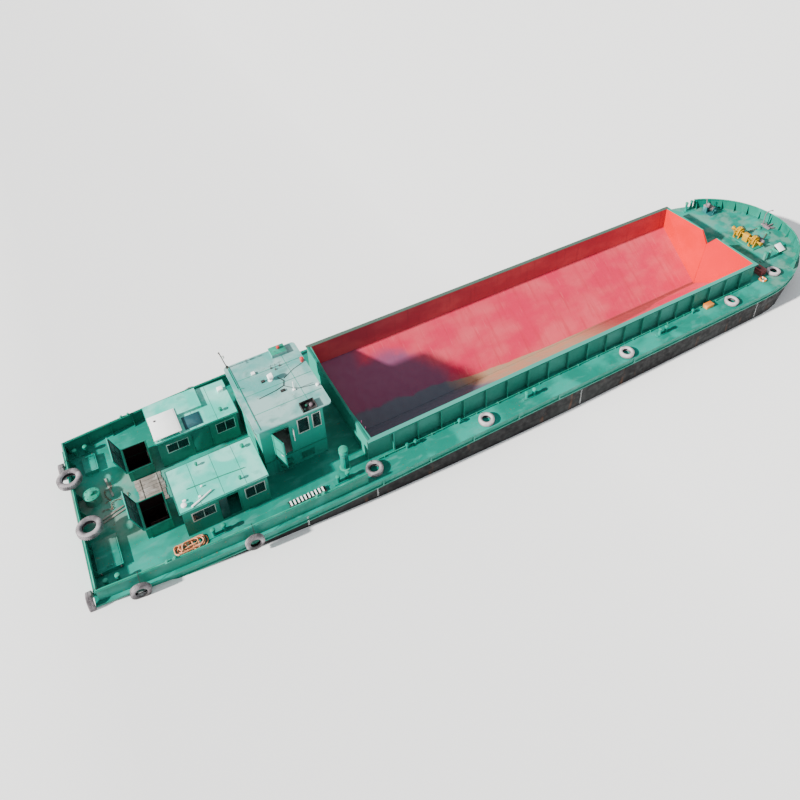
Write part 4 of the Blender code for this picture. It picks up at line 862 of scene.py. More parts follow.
class BargeRopeSettings(bpy.types.PropertyGroup):
    diameter: FloatProperty(name="Rope diameter", description="Thickness of the mooring rope",
                            default=0.030, unit="LENGTH", min=0.005)
    spacing: FloatProperty(name="Point spacing", description="Distance between the rope's points",
                           default=0.018, min=0.005, subtype="DISTANCE", unit="LENGTH")


# Stage

WATER_STERN_DEPTH = 0.07
WATER_FLAT_DEPTH = 1.00
WATER_FLAT_FROM = 6.5
WATER_SPAN = 13.4
WATER_POWER = 1.5
WATER_EASE = 2.0
FLOOR_REACH = 140.0
FLOOR_OVERLAP = 0.06
WATER_BOW_INSET = 0.75
CAMERA_PLACE = (-4.676, -13.696, 15.812)
CAMERA_RIGHT = (0.864, -0.504, -0.016)
CAMERA_DOWN = (-0.307, -0.501, -0.809)
CAMERA_LENS = 33.29
CAMERA_SHIFT = (-0.0375, -0.1875)
SUN_WAY = (0.866, -0.01, -0.50)


def water_depth(x):
    """How far the water lies below the deck, x forward of the hold's aft end; level beyond the stern."""
    if x > WATER_FLAT_FROM:
        return WATER_FLAT_DEPTH
    share = (WATER_FLAT_FROM - x) / WATER_SPAN
    if share <= 1.0:
        return WATER_FLAT_DEPTH - (WATER_FLAT_DEPTH - WATER_STERN_DEPTH) * share ** WATER_POWER
    slope = (WATER_FLAT_DEPTH - WATER_STERN_DEPTH) * WATER_POWER / WATER_SPAN
    beyond = WATER_SPAN * (share - 1.0)
    return WATER_STERN_DEPTH - slope * WATER_EASE * (1 - math.exp(-beyond / WATER_EASE))


def hull_half(x):
    """Half the hull's breadth at the waterline, x forward of the hold's aft end."""
    if x < STERN_X - HOLD_AFT + 0.02:
        return 0.0
    if x < 0:
        return half_breadth(x)
    if HOLD_AFT + x < HOLD_FWD:
        return HALF_BEAM
    return bow_half_breadth(x, WATER_BOW_INSET)


class BARGE_OT_stage(bpy.types.Operator):
    """Makes the floor at the waterline, the light and the camera"""
    bl_idname = "barge.stage"
    bl_label = "Stage"

    def execute(self, context):
        settings = context.scene.barge_stage
        aft, fore = STERN_X - HOLD_AFT, BOW_X - HOLD_AFT
        stations = [-FLOOR_REACH] + [aft - 12.0 + 0.4 * i for i in range(30)] + [aft + 0.01, aft + 0.03]
        stations += [aft + 0.25 * i for i in range(1, 96)]
        stations += [fore - 0.9 + 0.08 * i for i in range(12)] + [FLOOR_REACH]
        mesh = bmesh.new()
        for side in (1, -1):
            rows = []
            for x in stations:
                inner = max(0.0, hull_half(x) - FLOOR_OVERLAP)
                rows.append([mesh.verts.new(at(x, side * y, -water_depth(x)))
                             for y in (inner, FLOOR_REACH)])
            for near, far in zip(rows, rows[1:]):
                mesh.faces.new((near[0], far[0], far[1], near[1]))
        data = bpy.data.meshes.new("floor")
        mesh.to_mesh(data)
        mesh.free()
        data.shade_smooth()
        floor = bpy.data.objects.new("floor", data)
        context.scene.collection.objects.link(floor)
        paper = Finish("pale_floor", 0.9, specular=0.1)
        paper.colour(tuple(settings.floor_tone))
        data.materials.append(paper.material)

        world = bpy.data.worlds.new("surround")
        world.use_nodes = True
        back = world.node_tree.nodes["Background"]
        back.inputs["Color"].default_value = (0.93, 0.96, 1.0, 1.0)
        back.inputs["Strength"].default_value = settings.fill_strength
        context.scene.world = world
        sun = bpy.data.lights.new("key", "SUN")
        sun.energy = settings.key_strength
        sun.angle = math.radians(2.5)
        sun.color = (1.0, 0.97, 0.92)
        key = bpy.data.objects.new("key", sun)
        key.rotation_euler = Vector(SUN_WAY).to_track_quat("-Z", "Y").to_euler()
        context.scene.collection.objects.link(key)

        lens = bpy.data.cameras.new("camera")
        lens.sensor_width = 36.0
        lens.lens = CAMERA_LENS
        lens.shift_x, lens.shift_y = CAMERA_SHIFT
        lens.clip_end = 500.0
        camera = bpy.data.objects.new("camera", lens)
        right = Vector(CAMERA_RIGHT).normalized()
        down = Vector(CAMERA_DOWN)
        down = (down - right * down.dot(right)).normalized()
        turn = Matrix((right, -down, -right.cross(down))).transposed()
        camera.matrix_world = Matrix.Translation(at(*CAMERA_PLACE)) @ turn.to_4x4()
        context.scene.collection.objects.link(camera)
        context.scene.camera = camera
        return {"FINISHED"}


# Mooring rope

ROPE_FWD = -4.72
ROPE_Y = -2.09
ROPE_START = (-0.23, -0.174)
ROPE_SWAY = 0.008
# Each leg: metres run straight, or quarter turns to the left where it has a radius; radius; level reached
ROPE_LEGS = (
    (0.46, 0, 0), (2, 0.174, 0), (0.46, 0, 0), (2, 0.1405, 0), (0.46, 0, 0), (2, 0.107, 0), (0.46, 0, 0),
    (2, 0.0755, 0), (0.49, 0, 1), (1, 0.07, 1), (0.061, 0, 1), (2, 0.07, 1), (0.174, 0, 1), (-2, 0.07, 1),
    (0.174, 0, 1), (2, 0.07, 1), (0.174, 0, 1), (-2, 0.07, 1), (0.174, 0, 1), (2, 0.07, 1), (0.13, 0, 1.5),
    (1, 0.07, 2), (0.50, 0, 2), (2, 0.113, 2), (0.38, 0, 2), (2, 0.0755, 2), (0.30, 0, 3), (2, 0.07, 3),
    (0.20, 0, 3), (1, 0.10, 3), (0.08, 0, 3),
)


def rope_route(diameter, spacing):
    """Long turns on the deck, a layer flaked across them and a loose end on top."""
    x, y = ROPE_START
    heading = level = 0.0
    route = [(x, y, level)]
    for amount, radius, reached in ROPE_LEGS:
        angle = amount * math.pi / 2 if radius else 0.0
        length = abs(angle) * radius if radius else amount
        steps = max(2, math.ceil(length / spacing))
        turn = angle / steps
        stride = 2 * radius * math.sin(abs(turn) / 2) if radius else length / steps
        for i in range(1, steps + 1):
            x += stride * math.cos(heading + turn / 2)
            y += stride * math.sin(heading + turn / 2)
            heading += turn
            share = i / steps
            route.append((x, y, level + (reached - level) * share * share * (3 - 2 * share)))
        level = reached
    middle = at(ROPE_FWD, ROPE_Y)
    points = []
    for x, y, level in route:
        sway = (ROPE_SWAY * math.sin(9 * y + 2 * level), ROPE_SWAY * math.sin(11 * x + 3 * level))
        height = DECK + 0.001 + diameter * (0.5 + 1.02 * level)
        points.append(Vector((middle.x + x + sway[0], middle.y + y + sway[1], height)))
    return points


class BARGE_OT_rope(bpy.types.Operator):
    """Lays the mooring rope down in loose turns on the stern deck"""
    bl_idname = "barge.rope"
    bl_label = "Mooring rope"

    def execute(self, context):
        settings = context.scene.barge_rope
        points = rope_route(settings.diameter, settings.spacing)
        curve = bpy.data.curves.new("mooring_rope", "CURVE")
        curve.dimensions = "3D"
        curve.bevel_depth = settings.diameter / 2
        curve.bevel_resolution = 3
        curve.use_fill_caps = True
        spline = curve.splines.new("POLY")
        spline.points.add(len(points) - 1)
        for point, target in zip(spline.points, points):
            point.co = (*target, 1.0)
        item = bpy.data.objects.new("mooring_rope", curve)
        context.scene.collection.objects.link(item)
        curve.materials.append(finish("rope"))
        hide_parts("rope_pile")
        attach(item, "barge")
        return {"FINISHED"}


# Finishes of the carried-over nodes

class BARGE_OT_finishes(bpy.types.Operator):
    """Gives every CAD node its procedural finish"""
    bl_idname = "barge.finishes"
    bl_label = "Paint and metal"

    def execute(self, context):
        keys = {
            "hull": "hull", "rudder": "hull", "deck": "deck", "side": "deck", "hopper": "hopper",
            "bulkhead": "bulkhead", "coaming": "coaming", "bulwark": "bulwark", "house": "house",
            "wheelhouse": "wall", "companion": "wall", "stern": "deck", "engine": "engine", "tyre": "rubber",
            "propeller": "bronze", "windlass": "yellow", "winch": "gear_teal", "mast": "steel",
            "anchor": "mauve", "rope": "rope",
        }
        for node in NODES:
            dress(keys[node.split("_")[0]], node)
        dress("roof", "wheelhouse_roof")
        dress("box_red", "deck_box")
        dress("windlass", "windlass_frame")
        dress("companion", "companion_coaming_port", "companion_coaming_starboard")
        return {"FINISHED"}


# Windows

FRAME_WIDTH = 0.022
FRAME_PROUD = 0.010
PANE = 0.006


def window(frames, panes, axis, face, out, low, high, bottom, top, bars=1):
    """A window in a wall whose outer face stands across an axis; out is the way that it faces."""
    def piece(target, a0, a1, z0, z1, near, far):
        b0, b1 = face + out * near, face + out * far
        if axis == "y":
            target.block((a0, b0, z0), (a1, b1, z1))
        else:
            target.block((b0, a0, z0), (b1, a1, z1))

    w = FRAME_WIDTH
    for a0, a1, z0, z1 in ((low - w, high + w, top, top + w), (low - w, high + w, bottom - w, bottom),
                           (low - w, low, bottom, top), (high, high + w, bottom, top)):
        piece(frames, a0, a1, z0, z1, HAIR, FRAME_PROUD)
    for i in range(bars):
        middle = low + (high - low) * (i + 1) / (bars + 1)
        piece(frames, middle - w / 3, middle + w / 3, bottom, top, -0.020, FRAME_PROUD)
    piece(panes, low, high, bottom, top, -0.016, -0.016 + PANE)


HOUSE_X = (-4.735, -2.56)
HOUSE_Y = (0.48, 1.855)
HOUSE_TOP = 0.955
HOUSE_WALL_INSET = 0.05
HOUSE_WINDOWS = [
    # aft edge forward of the hold, fore edge, sill and head above the deck
    (-4.465, -3.945, 0.45, 0.72),
    (-3.175, -2.705, 0.42, 0.75),
]
HOUSE_DOORWAY = (-3.83, -3.35, 0.05, 0.80)


class BARGE_OT_houses(bpy.types.Operator):
    """Fits out the two deckhouses: windows, doors, gutters and what lies on their roofs"""
    bl_idname = "barge.houses"
    bl_label = "Deckhouses"

    def execute(self, context):
        frames, panes = Piece("house_window_frames"), Piece("house_window_panes")
        trims, doors = Piece("house_trims"), Piece("house_doors")
        for side in (1, -1):
            inner, outer = sorted((side * (HOUSE_Y[0] + HOUSE_WALL_INSET),
                                   side * (HOUSE_Y[1] - HOUSE_WALL_INSET)))
            for face, out in ((inner, -1), (outer, 1)):
                for x0, x1, sill, head in HOUSE_WINDOWS:
                    window(frames, panes, "y", face, out, HOLD_AFT + x0, HOLD_AFT + x1, DECK + sill,
                           DECK + head, 1)
            x0, x1, sill, head = HOUSE_DOORWAY
            for a0, a1, z0, z1 in ((x0 - 0.03, x0, sill, head), (x1, x1 + 0.03, sill, head),
                                   (x0 - 0.03, x1 + 0.03, head, head + 0.03),
                                   (x0 - 0.03, x1 + 0.03, 0.02, sill)):
                trims.block(at(a0, inner - 0.012, z0), at(a1, inner - HAIR, z1))
            if side < 0:
                doors.block(at(x0 + 0.005, inner + 0.004, sill + 0.005),
                            at(x0 + 0.20, inner + 0.022, head - 0.005))
            else:
                trims.block(at(x0 + 0.004, inner + 0.002, sill + 0.004),
                            at(x1 - 0.004, inner + 0.022, head - 0.004))
            for z in (0.2, 0.62):
                doors.bar(at(x0 + 0.01, inner - 0.004, z), at(x0 + 0.01, inner - 0.004, z + 0.06), 0.008, 8)
            low, high = sorted((side * HOUSE_Y[0], side * HOUSE_Y[1]))
            top = HOUSE_TOP
            for y, edge in ((low, 0.014), (high, -0.014)):
                trims.block(at(HOUSE_X[0], y, top + HAIR), at(HOUSE_X[1], y + edge, top + 0.012))
            for x, edge in zip(HOUSE_X, (0.014, -0.014)):
                trims.block(at(x, low + 0.014, top + HAIR), at(x + edge, high - 0.014, top + 0.012))
            for x in (-4.2, -3.65, -3.1):
                trims.block(at(x - 0.004, low + 0.03, top + HAIR),
                            at(x + 0.004, high - 0.03, top + 0.004))
            for x, out in zip(HOUSE_X, (-1, 1)):
                face = x - out * HOUSE_WALL_INSET
                for y in (side * 0.85, side * 1.48):
                    trims.bar(at(face + out * 0.0005, y, 0.66), at(face + out * 0.03, y, 0.66), 0.055, 14,
                              0.045)
        frames.done("frame", bevel=0.002)
        panes.done("glass")
        trims.done("bulwark", bevel=0.003)
        # The door leaf takes the lids' dark teal of painted shade.
        doors.done("lid_inside", bevel=0.003)
        self.make_port_roof()
        self.make_roof_fittings()
        return {"FINISHED"}

    def make_port_roof(self):
        """The white and the slate sheet on the port house."""
        sheet = Piece("port_roof_white_sheet")
        sheet.box(at(-4.36, 0.945, HOUSE_TOP + 0.092), (0.70, 0.86, 0.022))
        sheet.box(at(-4.36, 0.945, HOUSE_TOP + 0.114), (0.64, 0.80, 0.006))
        for x in (-4.66, -4.06):
            sheet.box(at(x, 0.56, HOUSE_TOP + SEAT), (0.04, 0.04, 0.092))
        sheet.box(at(-2.735, 1.47, HOUSE_TOP + SEAT), (0.15, 0.14, 0.09))
        sheet.done("white", bevel=0.006)
        eye = Piece("port_roof_sheet_eye")
        eye.turned(at(-4.555, 1.16, HOUSE_TOP + 0.120), UP, [(0, 0.032), (0.012, 0.032), (0.02, 0.02)], 16)
        eye.done("steel", smooth=True)
        slate = Piece("port_roof_slate_sheet")
        slate.box(at(-3.69, 0.80, HOUSE_TOP + SEAT), (0.46, 0.46, 0.014))
        slate.box(at(-3.69, 0.80, HOUSE_TOP + 0.015), (0.40, 0.40, 0.006))
        slate.done("slate", bevel=0.003)

    def make_roof_fittings(self):
        """The spar, boxes and hood on the starboard house, and the vents of both."""
        gear = Piece("starboard_roof_fittings")
        gear.pipe([at(-4.42, -1.81, HOUSE_TOP + 0.030), at(-4.15, -1.70, HOUSE_TOP + 0.026),
                   at(-3.89, -1.585, HOUSE_TOP + 0.030)], 0.022, 12)
        gear.box(at(-4.07, -1.36, HOUSE_TOP + SEAT), (0.05, 0.04, 0.05))
        gear.box(at(-4.18, -1.62, HOUSE_TOP + SEAT), (0.06, 0.05, 0.04))
        gear.turned(at(-4.57, -1.70, HOUSE_TOP + SEAT), UP,
                    [(0, 0.04), (0.05, 0.04), (0.055, 0.07), (0.09, 0.065), (0.10, 0.03)], 20)
        gear.box(at(-4.53, -1.55, HOUSE_TOP + SEAT), (0.08, 0.06, 0.035))
        gear.done("white", bevel=0.004)
        vents = Piece("house_roof_vents")
        for x, y, size in ((-2.85, -0.72, 0.055), (-2.95, 0.75, 0.055), (-4.0, -0.68, 0.04),
                           (-3.2, -1.62, 0.045)):
            vents.turned(at(x, y, HOUSE_TOP + SEAT), UP,
                         [(0, size * 0.6), (0.07, size * 0.6), (0.072, size), (0.10, size * 0.9),
                          (0.115, size * 0.4)], 20)
        vents.pipe([at(-3.0, -1.35, HOUSE_TOP + 0.012), at(-3.5, -1.30, HOUSE_TOP + 0.012),
                    at(-4.4, -1.25, HOUSE_TOP + 0.012)], 0.010, 8)
        vents.done("gear_green", smooth=True)


# Wheelhouse

WHEELHOUSE_X = (-2.45, -0.775)
WHEELHOUSE_HALF = 1.15
WHEELHOUSE_FLOOR = 0.50
WHEELHOUSE_TOP = 1.85
WINDOW_SILL = WHEELHOUSE_FLOOR + 0.58
WINDOW_HEAD = WHEELHOUSE_FLOOR + 1.05
WHEELHOUSE_WINDOWS = [
    # axis, way that it faces, low and high edge along the wall, dividing bars
    ("y", -1, -1.465, -1.195, 0),
    ("y", -1, -1.065, -0.875, 0),
    ("y", 1, -2.29, -1.73, 1),
    ("y", 1, -1.495, -0.935, 1),
    ("x", -1, -0.80, -0.15, 1),
    ("x", -1, 0.15, 0.80, 1),
    ("x", 1, -1.02, -0.40, 0),
    ("x", 1, -0.31, 0.31, 0),
    ("x", 1, 0.40, 1.02, 0),
]
# Cables on the roof: the radius and the points, the last number of each above the roof
CABLE_RUNS = (
    (0.008, ((-2.10, -0.26, 0.010), (-1.62, -0.20, 0.010), (-1.40, -0.14, 0.014), (-1.33, 0.02, 0.014),
             (-1.42, 0.22, 0.012))),
    (0.006, ((-0.62, -0.52, 0.009), (-1.05, -0.44, 0.009), (-1.25, -0.30, 0.009), (-1.40, -0.14, 0.012))),
    (0.006, ((-0.64, 0.40, 0.008), (-0.95, 0.30, 0.008), (-1.30, 0.10, 0.010))),
)
DOOR_HINGE = (-2.15, -1.1643)
DOOR_OPEN = math.radians(-71)


class BARGE_OT_wheelhouse(bpy.types.Operator):
    """Fits out the wheelhouse: windows, helm, roof seams, lamps and the door's furniture"""
    bl_idname = "barge.wheelhouse"
    bl_label = "Wheelhouse"

    def execute(self, context):
        frames, panes = Piece("wheelhouse_window_frames"), Piece("wheelhouse_window_panes")
        for axis, out, low, high, bars in WHEELHOUSE_WINDOWS:
            face = out * WHEELHOUSE_HALF
            if axis == "x":
                face = HOLD_AFT + (WHEELHOUSE_X[1] if out > 0 else WHEELHOUSE_X[0])
            else:
                low, high = HOLD_AFT + low, HOLD_AFT + high
            window(frames, panes, axis, face, out, low, high, DECK + WINDOW_SILL, DECK + WINDOW_HEAD, bars)
        frames.done("frame", bevel=0.002)
        panes.done("glass")
        self.make_inside()
        self.make_outside()
        self.make_roof()
        self.make_lamps()
        self.make_sidelights()
        self.make_door()
        return {"FINISHED"}

    def make_inside(self):
        """Lining, desk, bench, seat, helm and instruments."""
        x0, x1 = WHEELHOUSE_X
        floor = WHEELHOUSE_FLOOR
        lining = Piece("wheelhouse_lining")
        lining.block(at(x0 + 0.035, -1.115, floor + 0.001), at(x1 - 0.035, 1.115, floor + 0.008))
        for y in (-1.118, 1.112):
            lining.block(at(x0 + 0.035, y, floor + 0.01),
                         at(-2.16 if y < 0 else x1 - 0.035, y + 0.006, floor + 0.54))
        lining.block(at(x0 + 0.032, -1.10, floor + 0.01), at(x0 + 0.038, 1.10, floor + 0.54))
        lining.done("inside", bevel=0.002)
        desk = Piece("wheelhouse_desk")
        outline = [(HOLD_AFT + x1 - 0.06, DECK + floor + 0.01), (HOLD_AFT + x1 - 0.42, DECK + floor + 0.01),
                   (HOLD_AFT + x1 - 0.42, DECK + floor + 0.40), (HOLD_AFT + x1 - 0.36, DECK + floor + 0.44),
                   (HOLD_AFT + x1 - 0.06, DECK + floor + 0.52)]
        desk.upright(outline, -0.62, 0.72)
        desk.box(at(x0 + 0.24, 0.55, floor + 0.008), (0.34, 0.92, 0.22))
        desk.done("wood", bevel=0.008)
        cushion = Piece("wheelhouse_bench_pad")
        cushion.box(at(x0 + 0.24, 0.55, floor + 0.229), (0.32, 0.88, 0.05))
        cushion.box(at(x1 - 0.72, 0.05, floor + 0.26), (0.24, 0.24, 0.05))
        cushion.box(at(x1 - 0.84, 0.05, floor + 0.31), (0.04, 0.24, 0.24))
        cushion.bar(at(x1 - 0.72, 0.05, floor + 0.02), at(x1 - 0.72, 0.05, floor + 0.265), 0.025, 12)
        cushion.turned(at(x1 - 0.72, 0.05, floor + 0.008), UP, [(0, 0.11), (0.012, 0.11), (0.02, 0.04)], 20)
        cushion.done("black", bevel=0.010)
        helm = Piece("wheelhouse_helm")
        hub = at(x1 - 0.47, 0.05, floor + 0.42)
        helm.ring(hub, (-1, 0, 0.25), 0.16, 0.010, 32, 8)
        for angle in angles(6):
            across = Vector((0, math.cos(angle), math.sin(angle)))
            helm.bar(hub, hub + across * 0.155, 0.006, 8)
        helm.bar(hub - Vector((0.02, 0, 0)), hub + Vector((0.06, 0, 0)), 0.022, 12)
        for y in (-0.28, -0.22, 0.34):
            foot = at(x1 - 0.30, y, floor + 0.45)
            helm.bar(foot, foot + Vector((-0.03, 0, 0.09)), 0.006, 8)
            helm.turned(foot + Vector((-0.03, 0, 0.09)), UP, [(0, 0.008), (0.01, 0.014), (0.02, 0.008)], 10)
        helm.done("steel", smooth=True)
        screens = Piece("wheelhouse_instruments")
        for y, width in ((-0.45, 0.22), (-0.12, 0.16), (0.30, 0.20), (0.55, 0.16)):
            screens.box(at(x1 - 0.20, y, floor + 0.47), (0.07, width, 0.13))
        screens.done("black", bevel=0.004)

    def make_outside(self):
        """Base moulding, door canopy, steps, louvre and grab rails."""
        x0, x1 = WHEELHOUSE_X
        trims = Piece("wheelhouse_trims")
        half = WHEELHOUSE_HALF
        for y in (-half - 0.006, half):
            trims.block(at(x0 - 0.006, y, WHEELHOUSE_FLOOR - 0.02),
                        at(x1 + 0.006, y + 0.006, WHEELHOUSE_FLOOR + 0.015))
        for x in (x0 - 0.006, x1):
            trims.block(at(x, -half, WHEELHOUSE_FLOOR - 0.02),
                        at(x + 0.006, half, WHEELHOUSE_FLOOR + 0.015))
        trims.block(at(-2.14, -half - 0.010, WHEELHOUSE_FLOOR + 0.99),
                    at(-1.70, -half - HAIR, WHEELHOUSE_FLOOR + 1.02))
        for i in range(2):
            z = 0.17 * (i + 1)
            trims.block(at(-2.08, -half - 0.16, z), at(-1.76, -half - HAIR, z + 0.02))
            for x in (-2.06, -1.79):
                trims.block(at(x, -half - 0.14, z - 0.06), at(x + 0.012, -half - HAIR, z))
        for i in range(7):
            trims.block(at(-1.50, -half - 0.014, 0.12 + 0.035 * i),
                        at(-1.14, -half - HAIR, 0.138 + 0.035 * i))
        trims.done("bulwark", bevel=0.002)
        rail = Piece("wheelhouse_grab_rail")
        rail.pipe([at(-1.62, -half - 0.001, 0.95), at(-1.62, -half - 0.05, 0.95),
                   at(-1.62, -half - 0.05, 1.35),
                   at(-1.62, -half - 0.001, 1.35)], 0.009, 8)
        rail.pipe([at(x1 + 0.001, -0.9, 0.92), at(x1 + 0.05, -0.9, 0.92), at(x1 + 0.05, 0.9, 0.92),
                   at(x1 + 0.001, 0.9, 0.92)], 0.009, 8)
        for y in (-0.45, 0.0, 0.45):
            rail.bar(at(x1 + 0.001, y, 0.92), at(x1 + 0.05, y, 0.92), 0.006, 8)
        rail.done("white", smooth=True)

    def make_roof(self):
        """Seams of the roof's plates and the cables that lie on it."""
        top = WHEELHOUSE_TOP
        x0, x1, half = -2.55, -0.55, 1.30
        seams = Piece("wheelhouse_roof_seams")
        seams.block(at(x0 + 0.13, -half + 0.05, top + HAIR), at(x0 + 0.15, half - 0.05, top + 0.014))
        for y in (-0.72, -0.02, 0.62):
            seams.block(at(x0 + 0.16, y - 0.006, top + HAIR), at(x1 - 0.03, y + 0.006, top + 0.008))
        seams.block(at(-1.05, -half + 0.03, top + HAIR), at(-1.04, half - 0.03, top + 0.005))
        seams.pipe([at(x0 + 0.10, 1.18, top + 0.012), at(x0 + 0.10, 0.35, top + 0.012),
                    at(x0 + 0.24, 0.30, top + 0.012)], 0.009, 8)
        seams.done("wall", bevel=0.002)
        dark = Piece("wheelhouse_roof_cables")
        for radius, route in CABLE_RUNS:
            dark.pipe([at(x, y, top + z) for x, y, z in route], radius, 8)
        dark.box(at(-1.80, 0.26, top + SEAT), (0.10, 0.07, 0.045))
        dark.box(at(-1.47, -0.30, top + SEAT), (0.12, 0.08, 0.03))
        dark.done("black", bevel=0.003)

    def make_lamps(self):
        """Searchlight, pipe, aerials and the red lamp on the roof."""
        top = WHEELHOUSE_TOP
        lamp = Piece("wheelhouse_searchlight")
        lamp.turned(at(-1.62, 0.22, top + SEAT), UP,
                    [(0, 0.06), (0.015, 0.06), (0.02, 0.025), (0.09, 0.025)], 20)
        lamp.turned(at(-1.68, 0.22, top + 0.13), (1, 0, 0.1),
                    [(0, 0.05), (0.02, 0.075), (0.13, 0.085), (0.14, 0.07)], 24)
        lamp.pipe([at(-1.22, -0.42, top + SEAT), at(-1.22, -0.42, top + 0.30)], 0.011, 10)
        lamp.box(at(-1.22, -0.42, top + SEAT), (0.07, 0.07, 0.03))
        lamp.box(at(-1.93, 0.66, top + SEAT), (0.09, 0.10, 0.05))
        lamp.turned(at(-0.64, -0.575, top + SEAT), UP,
                    [(0, 0.035), (0.04, 0.035), (0.05, 0.045), (0.06, 0.03)], 16)
        lamp.done("white", smooth=True)
        mesh = Piece("wheelhouse_roof_aerials")
        for x, y, height in ((-1.36, 0.52, 0.22), (-1.22, 0.60, 0.16), (-1.45, 0.62, 0.12)):
            mesh.bar(at(x, y, top + SEAT), at(x, y, top + height), 0.006, 8)
            mesh.bar(at(x - 0.06, y, top + height * 0.8), at(x + 0.06, y, top + height * 0.8), 0.004, 6)
            mesh.box(at(x, y, top + SEAT), (0.05, 0.05, 0.02))
        mesh.done("steel", smooth=True)
        red = Piece("wheelhouse_port_lamp")
        red.turned(at(-0.64, 0.46, top + SEAT), UP,
                   [(0, 0.05), (0.05, 0.05), (0.07, 0.055), (0.12, 0.05), (0.14, 0.02)], 20)
        red.done("lamp_red", smooth=True)

    def make_sidelights(self):
        """The starboard sidelight in its open screen and the port one on its closed box."""
        top = WHEELHOUSE_TOP
        for name, side in SIDES:
            if side < 0:
                lens = Piece("sidelight_lens_starboard")
                lens.turned(at(-1.16, -1.10, top + 0.006), UP,
                            [(0, 0.03), (0.05, 0.032), (0.06, 0.015)], 16)
                lens.turned(at(-1.24, -1.20, top + 0.006), UP, [(0, 0.025), (0.04, 0.025)], 16)
                lens.done("lamp_green", smooth=True)
            box = Piece("sidelight_screen_" + name)
            y = side * 1.27
            inner = side * 0.98
            if side < 0:
                box.block(at(-1.31, inner, top + SEAT), at(-0.93, inner - 0.012, top + 0.10))
                for x in (-1.31, -0.942):
                    box.block(at(x, inner, top + SEAT), at(x + 0.012, y, top + 0.10))
                box.block(at(-1.30, inner, top + SEAT), at(-0.94, y, top + 0.006))
                box.done("black", bevel=0.002)
            else:
                box.block(at(-1.29, 0.945, top + 0.102), at(-0.87, 1.275, top + 0.112))
                box.done("gear_green", bevel=0.004)
            glow = Piece("sidelight_" + name)
            z = top + (0.112 if side > 0 else 0.006)
            glow.turned(at(-1.05, side * 1.14, z), UP,
                        [(0, 0.035), (0.015, 0.045), (0.07, 0.045), (0.085, 0.02)], 20)
            glow.done("lamp_red" if side > 0 else "mauve", smooth=True)

    def make_door(self):
        """Mouldings and handles on the open door."""
        hinge = at(*DOOR_HINGE)
        turn = Matrix.Translation(hinge) @ Matrix.Rotation(DOOR_OPEN, 4, "Z")
        low, high = WHEELHOUSE_FLOOR + 0.045, WHEELHOUSE_FLOOR + 0.955
        plate = Piece("wheelhouse_door_frame")
        for x0, x1, z0, z1 in ((0.02, 0.06, low, high), (0.395, 0.435, low, high),
                               (0.06, 0.395, high - 0.04, high),
                               (0.06, 0.395, low, low + 0.05), (0.06, 0.395, 1.0, 1.03)):
            for y in (-0.0165, 0.0115):
                plate.block((x0, y, z0), (x1, y + 0.005, z1), turn)
        plate.done("bulwark", "wheelhouse_door", bevel=0.0015)
        knob = Piece("wheelhouse_door_handle")
        for side in (-1, 1):
            points = [(0.405, side * 0.016, 1.0), (0.405, side * 0.045, 1.0), (0.33, side * 0.045, 1.0)]
            knob.pipe([turn @ Vector(p) for p in points], 0.007, 8)
        knob.done("frame", "wheelhouse_door", smooth=True)


# Mast

class BARGE_OT_mast(bpy.types.Operator):
    """Adds the lamp, stays' lugs and halyard cleat to the mast"""
    bl_idname = "barge.mast"
    bl_label = "Mast"

    def execute(self, context):
        low, high = corners("mast")
        foot = Vector((high.x - 0.035, (low.y + high.y) / 2, low.z))
        head = foot + Vector((-0.12, 0, 0.62))
        lamp = Piece("mast_lamp")
        spot = foot.lerp(head, 0.62) + Vector((0.035, 0, 0))
        lamp.turned(spot, UP, [(0, 0.025), (0.01, 0.032), (0.06, 0.032), (0.07, 0.02)], 16)
        lamp.done("lamp_white", smooth=True)
        ends = Piece("mast_fittings")
        ends.turned(head - Vector((0, 0, 0.02)), UP, [(-0.02, 0.02), (0.0, 0.026), (0.018, 0.02)], 14)
        for side in (-1, 1):
            ends.turned(foot.lerp(head, 0.55) + Vector((0, side * 0.085, 0)), (0, side, 0),
                        [(-0.015, 0.014), (0.0, 0.017), (0.006, 0.012)], 12)
            ends.upright([(foot.x - 0.05, foot.z + 0.021), (foot.x + 0.05, foot.z + 0.021),
                          (foot.x, foot.z + 0.09)],
                         foot.y + side * 0.02 - 0.003, foot.y + side * 0.02 + 0.003)
        ends.done("steel", smooth=True)
        return {"FINISHED"}


# Bulwarks

def stern_path(inset, height, start=-0.33):
    """Round the stern inside the bulwark, from port forward to starboard forward."""
    aft = STERN_X - HOLD_AFT + BULWARK_INSET
    stations = [aft + (start - aft) * i / STERN_FRAMES for i in range(STERN_FRAMES + 1)]
    side = [(x, half_breadth(x) - BULWARK_INSET - inset) for x in stations]
    side[0] = (side[0][0] + inset, side[0][1])
    return [at(x, y, height) for x, y in reversed(side)] + [at(x, -y, height) for x, y in side]


def bow_path(inset, height, start):
    """Round the bow inside the bulwark, from starboard aft to port aft."""
    first = HOLD_FWD - HOLD_AFT + start
    length = BOW_X - HOLD_FWD - BULWARK_INSET - inset
    points = []
    for i in range(41):
        angle = -math.pi / 2 + math.pi * i / 40
        x = HOLD_FWD - HOLD_AFT + length * abs(math.cos(angle)) ** (2 / BOW_EXPONENT)
        bulge = math.copysign(abs(math.sin(angle)) ** (2 / BOW_EXPONENT), angle)
        y = (HALF_BEAM - BULWARK_INSET - inset) * bulge
        if x >= first:
            points.append(at(x, y, height))
    return points


